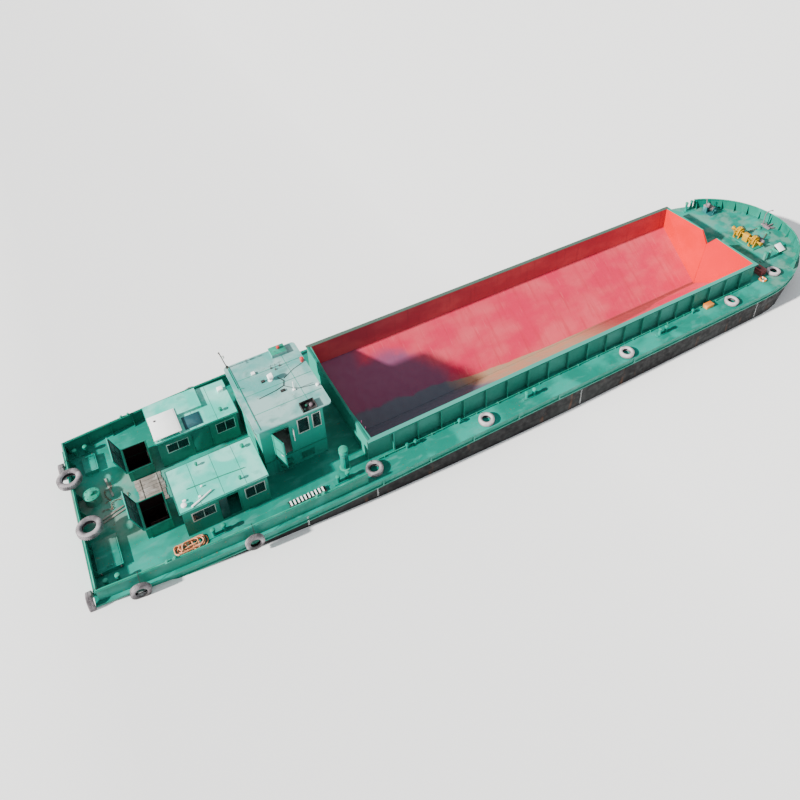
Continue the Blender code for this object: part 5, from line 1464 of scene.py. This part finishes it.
class BARGE_OT_bulwarks(bpy.types.Operator):
    """Stays, top rails and fairleads along the bulwarks"""
    bl_idname = "barge.bulwarks"
    bl_label = "Bulwarks"

    def execute(self, context):
        for name, path, count in (("stern", stern_path(0.014, 0.0005), 31),
                                  ("bow", bow_path(0.014, 0.0005, 1.8), 13)):
            unit = Piece("stay_unit")
            outline = [(0.0, 0.0), (0.13, 0.0), (0.13, 0.02), (0.022, 0.33), (0.0, 0.33)]
            unit.loft([[(x, y, z) for y, z in outline] for x in (-0.006, 0.006)])
            unit.block((-0.022, 0.120, 0.0), (0.022, 0.130, 0.02))
            along_path("bulwark_stays_" + name, unit, path, count, "bulwark", upright=True)
        rail = Piece("bulwark_top_rails")
        rail.pipe(stern_path(0.0, BULWARK + 0.008), 0.016, 8)
        rail.pipe(bow_path(0.0, BULWARK + 0.008, 1.8), 0.016, 8)
        rail.done("gear_green", smooth=True)
        lead = Piece("fairleads")
        for x, y in ((-5.2, 1), (-5.2, -1), (-1.6, 1), (-1.6, -1)):
            edge = y * (half_breadth(x) - BULWARK_INSET)
            for end in (-0.09, 0.09):
                lead.turned(at(x + end, edge, BULWARK + SEAT), UP,
                            [(0, 0.028), (0.05, 0.022), (0.06, 0.034), (0.07, 0.028)], 14)
            lead.box(at(x, edge, BULWARK + SEAT), (0.28, 0.075, 0.012))
        lead.done("gear_green", bevel=0.003)
        return {"FINISHED"}


# Tyre fenders

TYRE_HOLE = 0.55
TYRE_SIDES = 40
TREAD_BLOCKS = 40
DECK_TYRES = ("tyre_starboard_3", "tyre_starboard_4", "tyre_starboard_5", "tyre_starboard_6",
              "tyre_starboard_7",
              "tyre_port_2", "tyre_port_3")
SIDE_TYRES = ("tyre_starboard_1", "tyre_starboard_2", "tyre_port_1")


def tyre_places():
    """Name, centre, axis, radius and width of each tyre, from the frame."""
    rows = []
    for node in sorted(NODES):
        if not node.startswith("tyre"):
            continue
        low, high = corners(node)
        centre, size = (low + high) / 2, high - low
        if node in DECK_TYRES or "rail" in node:
            rows.append((node, centre, UP, size.x / 2, size.z))
        elif "transom" in node:
            rows.append((node, centre, Vector((1, 0, 0)), size.z / 2, size.x))
        else:
            x, side = centre.x - HOLD_AFT, math.copysign(1, centre.y)
            slope = (half_breadth(x + 0.001) - half_breadth(x - 0.001)) / 0.002
            rows.append((node, centre, Vector((-slope, side, 0)).normalized(), 0.23, 0.14))
    return rows


class BARGE_OT_tyres(bpy.types.Operator):
    """Tyre fenders with open carcasses, beads and tread blocks, and the chains that hold them"""
    bl_idname = "barge.tyres"
    bl_label = "Tyre fenders"

    def execute(self, context):
        blocks = []
        for node, centre, axis, radius, width in tyre_places():
            body = radius * 0.965
            hole, wall, w = radius * TYRE_HOLE, radius * 0.055, width
            outer = [(hole, 0.30), (hole + wall, 0.36), (radius * 0.70, 0.485), (radius * 0.80, 0.495),
                     (radius * 0.90, 0.46), (body * 0.985, 0.40), (body, 0.30), (body, 0.0)]
            section = [(r, a * w) for r, a in outer] + [(r, -a * w) for r, a in reversed(outer[:-1])]
            inner = [(hole, -0.22), (radius * 0.70, -0.38), (radius * 0.85, -0.36), (radius * 0.90, 0.0),
                     (radius * 0.85, 0.36), (radius * 0.70, 0.38), (hole, 0.22)]
            section += [(r, a * w) for r, a in inner]
            turn = UP.rotation_difference(axis)
            piece = Piece(node + "_carcass")
            piece.swept(centre, axis, section, TYRE_SIDES)
            piece.done("rubber", smooth=True, slot="tyre_rubber", replaces=(node,))
            for row, shift in ((0.22, 0.0), (-0.22, 0.5)):
                for i in range(TREAD_BLOCKS):
                    a = 2 * math.pi * (i + shift) / TREAD_BLOCKS
                    spoke = Vector((math.cos(a), math.sin(a), 0))
                    spot = centre + turn @ (spoke * (body - 0.002) + Vector((0, 0, row * w)))
                    facing = (turn.to_matrix() @ Matrix.Rotation(a, 3, "Z")).to_euler()
                    blocks.append((spot, tuple(facing)))
        unit = Piece("tread_unit")
        unit.block((0.0, -0.0115, -0.024), (0.009, 0.0115, 0.024))
        on_points("tyre_treads", unit, blocks, "rubber", slot="tyre_rubber")
        self.make_chains()
        return {"FINISHED"}

    def make_chains(self):
        """Chains from the side tyres over the bulwark and from the deck tyres to the deck."""
        runs = []
        for node, centre, axis, radius, width in tyre_places():
            if node in SIDE_TYRES or "transom" in node:
                inward = Vector((-axis.x, -axis.y, 0)) if "transom" not in node else Vector((1, 0, 0))
                middle = centre - UP.cross(inward).normalized() * 0.04
                low = middle + UP * radius * 0.62
                edge = middle + inward * (width / 2 + LEDGE + BULWARK_INSET - 0.03)
                high = Vector((edge.x, edge.y, DECK + BULWARK + 0.03))
                over = high + inward * 0.08
                runs.append([low, (low + high) / 2 - inward * 0.005, high, over,
                             over - UP * 0.09 + inward * 0.01])
            elif node in DECK_TYRES:
                side = math.copysign(1, centre.y)
                inner = centre + Vector((0, -side * radius * 0.8, 0))
                runs.append([Vector((inner.x, inner.y, DECK + 0.16)),
                             inner + Vector((0.02, -side * 0.10, -0.05)),
                             Vector((inner.x + 0.05, inner.y - side * 0.14, DECK + 0.012))])
        for i, run in enumerate(runs):
            chain("fender_chain_%02d" % (i + 1), run, 0.030, "black")


LEDGE = 0.05
LINK_SIDES = 12
LINK_THICKNESS = 0.13


def chain(name, route, pitch, key="chain", size=1.0):
    """A chain laid along a route: oval links, each turned a quarter from the last."""
    unit = Piece("link_unit")
    ring = [Vector((0.6 * pitch * math.cos(a) + math.copysign(0.12 * pitch, math.cos(a)),
                    0.36 * pitch * math.sin(a), 0)) for a in angles(LINK_SIDES)]
    rows = []
    for before, here, after in zip(ring[-1:] + ring[:-1], ring, ring[1:] + ring[:1]):
        way = (after - before).normalized()
        across = Vector((-way.y, way.x, 0))
        rows.append([here + (across * math.cos(b) + UP * math.sin(b)) * pitch * LINK_THICKNESS
                     for b in angles(4)])
    unit.wrap(rows)
    length = sum((Vector(b) - Vector(a)).length for a, b in zip(route, route[1:]))
    return along_path(name, unit, route, max(3, round(length / (pitch * 1.12))), key, size=size,
                      twist=math.pi / 2)


# Stern deck

COMPANION_X = (-5.53, -4.91)
COMPANION_Y = (0.50, 1.37)
COMPANION_TOP = 0.36
LID_OPEN = math.radians(-107)
LID_HINGE_X = -5.5483


class BARGE_OT_stern_gear(bpy.types.Operator):
    """Companions with their lids, the stern hatches, engines and loose gear on the stern deck"""
    bl_idname = "barge.stern_gear"
    bl_label = "Stern deck gear"

    def execute(self, context):
        for name, side in SIDES:
            self.make_companion(name, side)
            self.make_engine(name)
            self.make_hatch(name)
        self.make_drum()
        self.make_loose_chains()
        self.make_boards()
        self.make_ladder_rack()
        return {"FINISHED"}

    def make_drum(self):
        """Top of the steering drum with its bolts, and the vent post's cap and foot."""
        drum = Piece("steering_drum_top")
        centre = at(-6.46, 0.40, 0.26)
        drum.turned(centre + Vector((0, 0, 0.001)), UP,
                    [(0, 0.20), (0.02, 0.205), (0.03, 0.19), (0.035, 0.07), (0.09, 0.06), (0.10, 0.03)], 32)
        for a in angles(8):
            drum.turned(centre + Vector((0.165 * math.cos(a), 0.165 * math.sin(a), 0.030)), UP,
                        [(0, 0.012), (0.012, 0.012), (0.016, 0.006)], 8)
        drum.done("gear_green", smooth=True)
        post = Piece("vent_post_cap")
        spot = at(-0.625, -1.88, 0.659)
        post.turned(spot, UP, [(0.001, 0.07), (0.02, 0.125), (0.05, 0.12), (0.08, 0.06)], 24)
        post.turned(at(-0.625, -1.88, SEAT), UP, [(0, 0.15), (0.012, 0.15), (0.02, 0.115)], 24)
        post.done("gear_green", smooth=True)

    def make_loose_chains(self):
        """Two chains that lie in waves on the stern deck."""
        rng = random.Random(7)
        for i, (start, end) in enumerate((((-6.20, 0.12), (-6.05, 0.75)), ((-6.32, -0.10), (-5.72, 0.20)))):
            route = []
            for k in range(17):
                t = k / 16
                x = start[0] + (end[0] - start[0]) * t + 0.10 * math.sin(9 * t) * (0.6 + 0.4 * rng.random())
                y = start[1] + (end[1] - start[1]) * t + 0.07 * math.cos(11 * t)
                route.append(at(x, y, 0.014))
            chain("deck_chain_%d" % (i + 1), route, 0.045)

    def make_boards(self):
        """Loose timbers and the plank grating between the companions."""
        timber = Piece("deck_timbers")
        for x0, y0, x1, y1 in ((-6.45, -0.30, -5.85, -0.12), (-6.38, -0.38, -5.80, -0.22),
                               (-6.10, 0.95, -6.02, 0.30)):
            way = Vector((x1 - x0, y1 - y0, 0))
            turn = Matrix.Rotation(math.atan2(way.y, way.x), 3, "Z")
            timber.box(at((x0 + x1) / 2, (y0 + y1) / 2, 0.001), (way.length, 0.05, 0.025), turn)
        timber.done("planks", bevel=0.003)
        planks = Piece("deck_planks")
        for i in range(8):
            y = -0.42 + 0.12 * i
            planks.box(at(-5.14 + 0.02 * math.sin(5 * i), y, 0.001), (0.66, 0.112, 0.014))
        for x in (-5.36, -4.94):
            planks.box(at(x, 0.0, 0.0155), (0.04, 0.90, 0.012))
        planks.done("planks", bevel=0.002)

    def make_ladder_rack(self):
        """The ladder that lies on its rack along the starboard bulwark."""
        ladder = Piece("ladder")
        for y in (-2.19, -2.33):
            ladder.pipe([at(-2.33, y, 0.065), at(-1.34, y - 0.02, 0.065)], 0.015, 8)
        for x in (-2.30, -1.86, -1.38):
            ladder.block(at(x, -2.36, SEAT), at(x + 0.04, -2.17, 0.050))
        ladder.done("black", smooth=True)
        rung = Piece("rung_unit")
        rung.block((-0.020, -0.075, 0.0), (0.020, 0.075, 0.012))
        along_path("ladder_rungs", rung, [at(-2.26, -2.265, 0.082), at(-1.42, -2.275, 0.082)], 10,
                   "white", upright=True)

    def make_companion(self, name, side):
        """Rim, ladder and open lid of one companion."""
        y0, y1 = sorted((side * COMPANION_Y[0], side * COMPANION_Y[1]))
        x0, x1 = COMPANION_X
        top = COMPANION_TOP
        rim = Piece("companion_rim_" + name)
        for a, b, c, d in ((x0 - 0.008, x1 + 0.008, y0 - 0.008, y0),
                           (x0 - 0.008, x1 + 0.008, y1, y1 + 0.008),
                           (x1, x1 + 0.008, y0, y1)):
            rim.block(at(a, c, top - 0.035), at(b, d, top - 0.002))
        for x in (x0 + 0.10, x1 - 0.10):
            for y, out in ((y0, -1), (y1, 1)):
                rim.block(at(x - 0.004, y, SEAT), at(x + 0.004, y + out * 0.03, top - 0.04))
        rim.done("bulwark", bevel=0.002)
        ladder = Piece("companion_ladder_" + name)
        middle = (y0 + y1) / 2
        for y in (middle - 0.11, middle + 0.11):
            ladder.pipe([at(x1 - 0.045, y, top - 0.04), at(x1 - 0.10, y, -0.74)], 0.010, 8)
        ladder.done("steel", smooth=True)
        rung = Piece("rung_unit")
        rung.bar((0, 0, -0.11), (0, 0, 0.11), 0.008, 8)
        route = [at(x1 - 0.045, middle, top - 0.08), at(x1 - 0.10, middle, -0.70)]
        rows = [(route[0].lerp(route[1], i / 7), (math.pi / 2, 0, 0)) for i in range(8)]
        on_points("companion_rungs_" + name, rung, rows, "steel")
        hinge = at(LID_HINGE_X, 0, top)
        turn = Matrix.Translation(hinge) @ Matrix.Rotation(LID_OPEN, 4, "Y")
        # The lid's inner face is painted dark teal as painted shade.
        lid = Piece("companion_lid_inside_" + name)
        a, b = y0 + 0.04, y1 - 0.04
        lid.block((0.055, a, 0.002), (0.60, b, 0.0055), turn)
        for x in (0.07, 0.32, 0.57):
            lid.block((x, a, -0.016), (x + 0.012, b, 0.002), turn)
        for y in (a, (a + b) / 2, b - 0.012):
            lid.block((0.082, y, -0.014), (0.57, y + 0.012, 0.002), turn)
        lid.done("lid_inside", "companion_lid_" + name, bevel=0.001)
        bars = Piece("companion_lid_handles_" + name)
        for y in (y0 + 0.22, y1 - 0.22):
            points = [(0.56, y - 0.05, 0.0265), (0.56, y - 0.05, 0.05), (0.56, y + 0.05, 0.05),
                      (0.56, y + 0.05, 0.0265)]
            bars.pipe([turn @ Vector(p) for p in points], 0.007, 8)
        bars.done("gear_green", "companion_lid_" + name, smooth=True)

    def make_engine(self, name):
        """Heads, manifold and pipes of the engine in its well."""
        low, high = corners("engine_" + name)
        engine = Piece("engine_top_" + name)
        middle = (low.y + high.y) / 2
        for i in range(6):
            x = low.x + 0.12 + 0.14 * i
            engine.block((x, middle - 0.07, high.z + SEAT), (x + 0.11, middle + 0.07, high.z + 0.06))
            engine.bar((x + 0.055, middle + 0.07, high.z + 0.03),
                       (x + 0.055, middle + 0.14, high.z + 0.03), 0.018, 8)
        engine.bar((low.x + 0.08, middle + 0.15, high.z + 0.04),
                   (high.x - 0.10, middle + 0.15, high.z + 0.04), 0.03, 12)
        engine.done("engine", bevel=0.004)
        lines = Piece("engine_pipes_" + name)
        lines.pipe([Vector((low.x + 0.1, middle - 0.13, high.z + 0.02)),
                    Vector((high.x - 0.15, middle - 0.13, high.z + 0.02))],
                   0.010, 8)
        for x in (low.x + 0.2, low.x + 0.32):
            lines.turned((x, middle - 0.16, high.z + SEAT), UP, [(0, 0.03), (0.07, 0.03), (0.08, 0.02)],
                         14)
        lines.done("box_red", smooth=True)

    def make_hatch(self, name):
        """Plate, handle and dogs of one low hatch."""
        low, high = corners("stern_hatch_lid_" + name)
        body = "stern_hatch_lid_" + name
        lid = Piece("stern_hatch_fittings_" + name)
        top = high.z + HAIR
        lid.block((low.x + 0.03, low.y + 0.03, top), (high.x - 0.03, high.y - 0.03, top + 0.006))
        middle = (low.x + high.x) / 2
        out = 1 if name == "port" else -1
        edge = high.y if out > 0 else low.y
        y = edge - out * 0.07
        points = [(middle - 0.06, y, top + 0.004), (middle - 0.06, y, top + 0.035),
                  (middle + 0.06, y, top + 0.035), (middle + 0.06, y, top + 0.004)]
        lid.pipe(points, 0.007, 8)
        lid.done("deck", body, bevel=0.001)
        dogs = Piece("stern_hatch_dogs_" + name)
        y = edge + out * 0.018
        for x in (low.x + 0.06, high.x - 0.06):
            dogs.box((x, edge + out * 0.012, DECK + 0.03), (0.04, 0.02, 0.05))
            dogs.bar((x, y, DECK + 0.05), (x, y, DECK + 0.112), 0.007, 8)
            dogs.turned((x, y, DECK + 0.110), UP, [(0, 0.010), (0.010, 0.010)], 8)
        dogs.done("steel", bevel=0.001)


# Hold and side decks

COAMING_BAYS = 20


class BARGE_OT_hold(bpy.types.Operator):
    """Brackets on the coaming's ribs, weld beads in the hold, ladders and the gear on the side decks"""
    bl_idname = "barge.hold"
    bl_label = "Hold and side decks"

    def execute(self, context):
        self.make_ribs()
        self.make_seams()
        self.make_side_gear()
        self.make_marks()
        return {"FINISHED"}

    def make_ribs(self):
        """Feet and flats of the coamings' ribs, and the bars along the coamings' tops."""
        hold = HOLD_FWD - HOLD_AFT
        places = []
        caps = []
        for side in (1, -1):
            for i in range(1, COAMING_BAYS):
                x = hold * i / COAMING_BAYS
                turn = (0, 0, 0 if side > 0 else math.pi)
                places.append((at(x, side * (HOLD_HALF + 0.08), 0.001), turn))
                caps.append((at(x, side * (HOLD_HALF + 0.0805), 0.001), turn))
        foot = Piece("foot_unit")
        foot.loft([[(x, y, z) for y, z in ((0.0, 0.0), (0.07, 0.0), (0.07, 0.012),
                                           (0.0, 0.12))] for x in (-0.005, 0.005)])
        on_points("coaming_rib_feet", foot, places, "coaming", slot="coaming_green")
        flat = Piece("flat_unit")
        flat.block((-0.022, 0.0, 0.0), (0.022, 0.008, 0.725))
        on_points("coaming_rib_flats", flat, caps, "bulwark", slot="coaming_green")
        bead = Piece("coaming_top_bars")
        for side in (1, -1):
            y = side * (HOLD_HALF + 0.092)
            bead.block(at(0.0, y, 0.715), at(hold, y + side * 0.008, 0.764))
        bead.block(at(0.002, -HOLD_HALF, 0.765), at(0.07, HOLD_HALF, 0.775))
        bead.done("bulwark", bevel=0.002)

    def make_seams(self):
        """Weld beads in the hold, the fold of each bulkhead and the hold's ladder."""
        hold = HOLD_FWD - HOLD_AFT
        seam = Piece("hold_weld_beads")
        for side in (1, -1):
            seam.pipe([at(0.35, side * 1.955, -0.045), at(hold - 0.2, side * 1.955, -0.045)], 0.008, 6)
        seam.pipe([at(0.35, 0.0, -1.326), at(hold - 0.35, 0.0, -1.326)], 0.012, 6)
        seam.done("hopper", smooth=True)
        folds = Piece("bulkhead_fold_strips")
        low, high = VALLEY - DECK, COAMING_TOP - DECK
        face, lean = 0.034, 0.24
        for end, way, notch in ((0.0, 1, 0.0), (hold, -1, 0.43)):
            head = face + lean * notch / (high - low)
            folds.pipe([at(end + way * (face + lean), 0, low + 0.03),
                        at(end + way * head, 0, high - notch - 0.01)], 0.010, 6)
        folds.done("bulkhead", smooth=True)
        ladder = Piece("hold_ladder")
        for y in (-1.60, -1.36):
            ladder.pipe([at(0.155, y, 0.80), at(0.155, y, 0.20), at(0.22, y, -0.30)], 0.011, 8)
        ladder.done("hopper", smooth=True)

    def make_side_gear(self):
        """Crate, life ring, pipes along the coamings and scuppers."""
        crate = Piece("orange_crate")
        crate.box(at(12.22, -2.22, SEAT), (0.30, 0.17, 0.11))
        crate.box(at(12.22, -2.22, 0.111), (0.32, 0.19, 0.02))
        crate.done("orange", bevel=0.006)
        ring = Piece("life_ring")
        ring.ring(at(14.86, -2.18, 0.036), UP, 0.10, 0.034, 32, 12)
        ring.done("orange", smooth=True)
        bands = Piece("life_ring_bands")
        for i in range(4):
            a = math.pi / 4 + math.pi * i / 2
            way = Vector((-math.sin(a), math.cos(a), 0))
            spot = at(14.86 + 0.10 * math.cos(a), -2.18 + 0.10 * math.sin(a), 0.036)
            bands.turned(spot, way, [(-0.014, 0.0352), (0.014, 0.0352)], 20)
        bands.done("white", smooth=True)
        pipes = Piece("deck_pipes")
        for side in (1, -1):
            y = side * (HOLD_HALF + 0.125)
            pipes.pipe([at(0.20, y, 0.035), at(14.30, y, 0.035)], 0.014, 8)
        pipes.done("gear_green", smooth=True)
        for name, side in SIDES:
            y = side * (HOLD_HALF + 0.125)
            clip = Piece("clip_unit")
            clip.block((-0.012, -0.03, -0.034), (0.012, 0.03, 0.017))
            along_path("deck_pipe_clips_" + name, clip, [at(0.4, y, 0.035), at(14.1, y, 0.035)], 20,
                       "gear_green",
                       upright=True)
        scupper = Piece("scupper_unit")
        scupper.block((-0.05, -0.004, -0.020), (0.05, 0.004, 0.020))
        rows = []
        for side in (1, -1):
            for i in range(9):
                x = 0.9 + 1.55 * i
                rows.append((at(x, side * (HALF_BEAM + 0.004), -0.135), (0, 0, 0)))
        on_points("scupper_flaps", scupper, rows, "wall")

    def make_marks(self):
        """Draught marks as plain ticks, without figures."""
        tick = Piece("tick_unit")
        tick.block((-0.024, -0.002, -0.005), (0.024, 0.002, 0.005))
        rows = []
        for x, top, bottom in ((-2.02, -0.08, -0.50), (-0.12, -0.33, -0.62), (6.60, -0.36, -0.98),
                               (14.13, -0.36, -0.96)):
            count = round((top - bottom) / 0.05)
            for i in range(count):
                z = top - 0.05 * i
                y = (half_breadth(x) if x < 0 else HALF_BEAM) + 0.003
                if -0.285 < z < -0.225:
                    y += 0.03
                for side in (1, -1):
                    rows.append((at(x, side * y, z), (0, 0, 0)))
        on_points("draught_ticks", tick, rows, "white")


# Fore deck

WINDLASS = (16.19, -0.32, 0.24)
WHEELS = (WINDLASS[1] - 1 / 3, WINDLASS[1] + 1 / 3)


class BARGE_OT_bow_gear(bpy.types.Operator):
    """Windlass wheels and chain, the winch's rope drum, anchors and hatches on the fore deck"""
    bl_idname = "barge.bow_gear"
    bl_label = "Fore deck gear"

    def execute(self, context):
        self.make_windlass()
        self.make_anchor_chains()
        self.make_fore_hatch()
        self.make_winch()
        self.make_anchor()
        self.make_bitts()
        return {"FINISHED"}

    def make_windlass(self):
        """Whelps of the chain wheels, brakes, gear case and motor of the windlass."""
        x, y, z = WINDLASS
        teeth = []
        for wheel in WHEELS:
            for a in angles(10):
                teeth.append((at(x + 0.150 * math.cos(a), wheel, z + 0.150 * math.sin(a)), (0, -a, 0)))
        unit = Piece("whelp_unit")
        unit.block((-0.02, -0.030, -0.016), (0.034, 0.030, 0.016))
        on_points("windlass_whelps", unit, teeth, "yellow", "windlass_shaft", slot="yellow_paint")
        gear = Piece("windlass_brakes")
        for wheel in WHEELS:
            gear.pipe([at(x - 0.20, wheel + 0.04, 0.05), at(x - 0.27, wheel + 0.04, 0.30),
                       at(x - 0.29, wheel + 0.04, 0.40)],
                      0.012, 8)
            gear.ring(at(x - 0.29, wheel + 0.04, 0.40), (1, 0, 0.2), 0.06, 0.008, 20, 6)
            gear.box(at(x - 0.20, wheel + 0.04, 0.042), (0.06, 0.08, 0.03))
        gear.box(at(x + 0.02, y, 0.042), (0.26, 0.22, 0.22))
        gear.turned(at(x + 0.02, y - 0.11, 0.24), TO_PORT,
                    [(0, 0.10), (0.0, 0.11), (0.22, 0.11), (0.22, 0.10)], 24)
        gear.done("yellow", bevel=0.005)
        motor = Piece("windlass_motor")
        motor.turned(at(x + 0.30, y - 0.52, 0.14), TO_PORT,
                     [(0, 0.05), (0.02, 0.078), (0.36, 0.078), (0.38, 0.05)], 24)
        motor.box(at(x + 0.30, y - 0.32, 0.215), (0.08, 0.10, 0.05))
        motor.done("mauve", bevel=0.003)

    def make_anchor_chains(self):
        """A chain off each wheel, down to its pipe in the deck."""
        x, _, z = WINDLASS
        for i, wheel in enumerate(WHEELS):
            route = [at(x + 0.06, wheel, z + 0.215), at(x + 0.20, wheel, z + 0.125),
                     at(x + 0.42, wheel * 0.95, 0.07),
                     at(x + 0.75, wheel * 0.8, 0.035), at(x + 1.05, wheel * 0.6, 0.04)]
            chain("anchor_chain_%d" % (i + 1), route, 0.055)
        pipes = Piece("chain_pipes")
        for wheel in WHEELS:
            pipes.turned(at(x + 1.08, wheel * 0.58, SEAT), UP,
                         [(0, 0.10), (0.02, 0.10), (0.03, 0.075), (0.06, 0.07), (0.065, 0.05)], 20)
        pipes.box(at(16.74, -1.30, SEAT), (0.30, 0.30, 0.07))
        pipes.done("gear_green", bevel=0.004)

    def make_fore_hatch(self):
        """Black sheets that paint the shade in the mouths of the fore hatch and the vent, and the hatch's
        open lid.
        """
        # Painted shade: thin black sheets stand for the dark inside of the two openings.
        hole = Piece("fore_hatch_mouth")
        hole.box(at(16.74, -1.30, 0.0715), (0.25, 0.25, 0.002))
        hole.box(at(15.05, -1.80, 0.232), (0.10, 0.16, 0.012))
        hole.done("black", bevel=0.0005)
        lid = Piece("fore_hatch_lid")
        turn = Matrix.Rotation(math.radians(-62), 3, "X")
        lid.box(at(16.74, -1.46, 0.075), (0.30, 0.012, 0.30), turn)
        lid.done("white", bevel=0.003)

    def make_winch(self):
        """Wire on the winch's drum, its motor and lever."""
        x, y, z = 16.62, 1.72, 0.17
        rope = Piece("winch_wire")
        for k in range(9):
            rope.ring(at(x, y - 0.112 + 0.028 * k, z), TO_PORT, 0.098, 0.0135, 28, 6)
        rope.done("steel", "winch_drum", smooth=True)
        motor = Piece("winch_motor")
        motor.turned(at(x - 0.21, y + 0.02, z + 0.13), UP, [(0, 0.06), (0.14, 0.06), (0.16, 0.03)], 20)
        motor.box(at(x - 0.21, y + 0.11, z + 0.10), (0.12, 0.16, 0.05))
        motor.pipe([at(x - 0.21, y + 0.11, z + 0.14), at(x - 0.23, y + 0.13, z + 0.42)], 0.012, 8)
        motor.turned(at(x - 0.23, y + 0.13, z + 0.42), UP, [(-0.02, 0.012), (0.0, 0.022), (0.02, 0.012)],
                     12)
        motor.done("mauve", bevel=0.003)

    def make_anchor(self):
        """The anchor's shackle and stock, and the davit at the stem."""
        x, y = 17.55, -0.12
        gear = Piece("anchor_gear")
        gear.ring(at(x + 0.33, y, 0.048), TO_PORT, 0.032, 0.008, 20, 8)
        gear.turned(at(x - 0.02, y - 0.15, 0.05), TO_PORT,
                    [(0, 0.03), (0.02, 0.04), (0.28, 0.04), (0.30, 0.03)], 16)
        gear.done("mauve", smooth=True)
        davit = Piece("stem_davit")
        foot = at(17.62, 0.10, SEAT)
        davit.turned(foot, UP, [(0, 0.07), (0.015, 0.07), (0.03, 0.03)], 20)
        davit.pipe([foot, foot + Vector((0, 0, 0.46)), foot + Vector((0.05, -0.02, 0.56)),
                    foot + Vector((0.22, -0.10, 0.62))], 0.016, 10)
        davit.ring(foot + Vector((0.22, -0.10, 0.59)), TO_PORT, 0.025, 0.006, 16, 6)
        davit.done("mauve", smooth=True)

    def make_bitts(self):
        """Caps on the bitts and bollards."""
        caps = []
        for cx, cy, height in ((15.96, 2.28, 0.36), (15.88, -1.47, 0.36)):
            for end in (-0.13, 0.13):
                caps.append((at(cx + end, cy, height + 0.016), (0, 0, 0)))
        for cx, cy in ((-0.85, 2.235), (-4.03, 2.085), (-6.48, 2.10), (4.94, 2.38), (10.05, 2.38)):
            for side in (1, -1):
                for end in (-0.13, 0.13):
                    caps.append((at(cx + end, side * cy, 0.236), (0, 0, 0)))
        unit = Piece("cap_unit")
        unit.turned((0, 0, 0), UP, [(0, 0.058), (0.012, 0.056), (0.022, 0.035), (0.025, 0.01)], 20)
        on_points("bollard_caps", unit, caps, "gear_green")


# Running gear

# Sections of a blade: share of the radius, chord, thickness and how far it is skewed
BLADE_SECTIONS = (
    (0.16, 0.075, 0.016, 0.0), (0.35, 0.115, 0.012, 0.01), (0.60, 0.145, 0.009, 0.02),
    (0.80, 0.130, 0.006, 0.03), (0.93, 0.080, 0.004, 0.04), (0.995, 0.020, 0.002, 0.05),
)


class BARGE_OT_running_gear(bpy.types.Operator):
    """Propellers with rounded, twisted blades, and the rudders' straps"""
    bl_idname = "barge.running_gear"
    bl_label = "Running gear"

    def execute(self, context):
        for name in ("port", "starboard"):
            low, high = corners("propeller_" + name)
            centre = (low + high) / 2
            radius = (high.z - low.z) / 2
            screw = Piece("screw_" + name)
            screw.turned(centre, (-1, 0, 0), [(-0.08, 0.050), (-0.07, 0.055), (0.05, 0.050),
                                              (0.08, 0.030), (0.10, 0.006)], 28)
            for i in range(4):
                self.add_blade(screw, centre, radius, 2 * math.pi * i / 4)
            screw.done("bronze", "propeller_" + name, smooth=True, slot="bronze",
                       replaces=("propeller_" + name,))
            low, high = corners("rudder_" + name)
            y = (low.y + high.y) / 2
            straps = Piece("rudder_straps_" + name)
            for z in (0.14, 0.36, 0.58):
                for out in (-1, 1):
                    straps.block((high.x - 0.30, y + out * 0.0205, z),
                                 (high.x - 0.03, y + out * 0.028, z + 0.03))
            straps.done("hull", "rudder_" + name, bevel=0.001)
        return {"FINISHED"}

    def add_blade(self, screw, centre, radius, spin):
        """A skewed blade: broad past the middle, round at the tip, flatter outwards."""
        spin = Matrix.Rotation(spin, 3, "X")
        rings = []
        for share, chord, thick, skew in BLADE_SECTIONS:
            reach = radius * share
            pitch = math.atan2(0.62 * radius, reach + 0.05)
            along = Vector((-math.sin(pitch), math.cos(pitch), 0))
            across = Vector((math.cos(pitch), math.sin(pitch), 0))
            ring = []
            for a in angles(10):
                point = along * (chord / 2 * math.cos(a) + skew) + across * (thick / 2 * math.sin(a))
                ring.append(centre + spin @ Vector((point.x, point.y, reach)))
            rings.append(ring)
        screw.loft(rings)


CLASSES = [BargeStageSettings, BargeRopeSettings, BARGE_OT_stage, BARGE_OT_rope, BARGE_OT_finishes,
           BARGE_OT_houses, BARGE_OT_wheelhouse, BARGE_OT_mast, BARGE_OT_bulwarks, BARGE_OT_tyres,
           BARGE_OT_stern_gear, BARGE_OT_hold, BARGE_OT_bow_gear, BARGE_OT_running_gear]
STEPS = ["stage", "rope", "finishes", "houses", "wheelhouse", "mast", "bulwarks", "tyres", "stern_gear",
         "hold",
         "bow_gear", "running_gear"]


class BARGE_PT_panel(bpy.types.Panel):
    bl_label = "River barge"
    bl_idname = "BARGE_PT_panel"
    bl_space_type = "VIEW_3D"
    bl_region_type = "UI"
    bl_category = "Barge"

    def draw(self, context):
        for group in (context.scene.barge_stage, context.scene.barge_rope):
            for name in group.bl_rna.properties.keys():
                if name not in ("rna_type", "name"):
                    self.layout.prop(group, name)
        for step in STEPS:
            self.layout.operator("barge." + step)


CLASSES.append(BARGE_PT_panel)


def register():
    for item in CLASSES:
        bpy.utils.register_class(item)
    bpy.types.Scene.barge_stage = PointerProperty(type=BargeStageSettings)
    bpy.types.Scene.barge_rope = PointerProperty(type=BargeRopeSettings)


def unregister():
    del bpy.types.Scene.barge_rope
    del bpy.types.Scene.barge_stage
    for item in reversed(CLASSES):
        bpy.utils.unregister_class(item)


def main():
    register()
    for step in STEPS:
        getattr(bpy.ops.barge, step)()


if __name__ == "__main__":
    main()
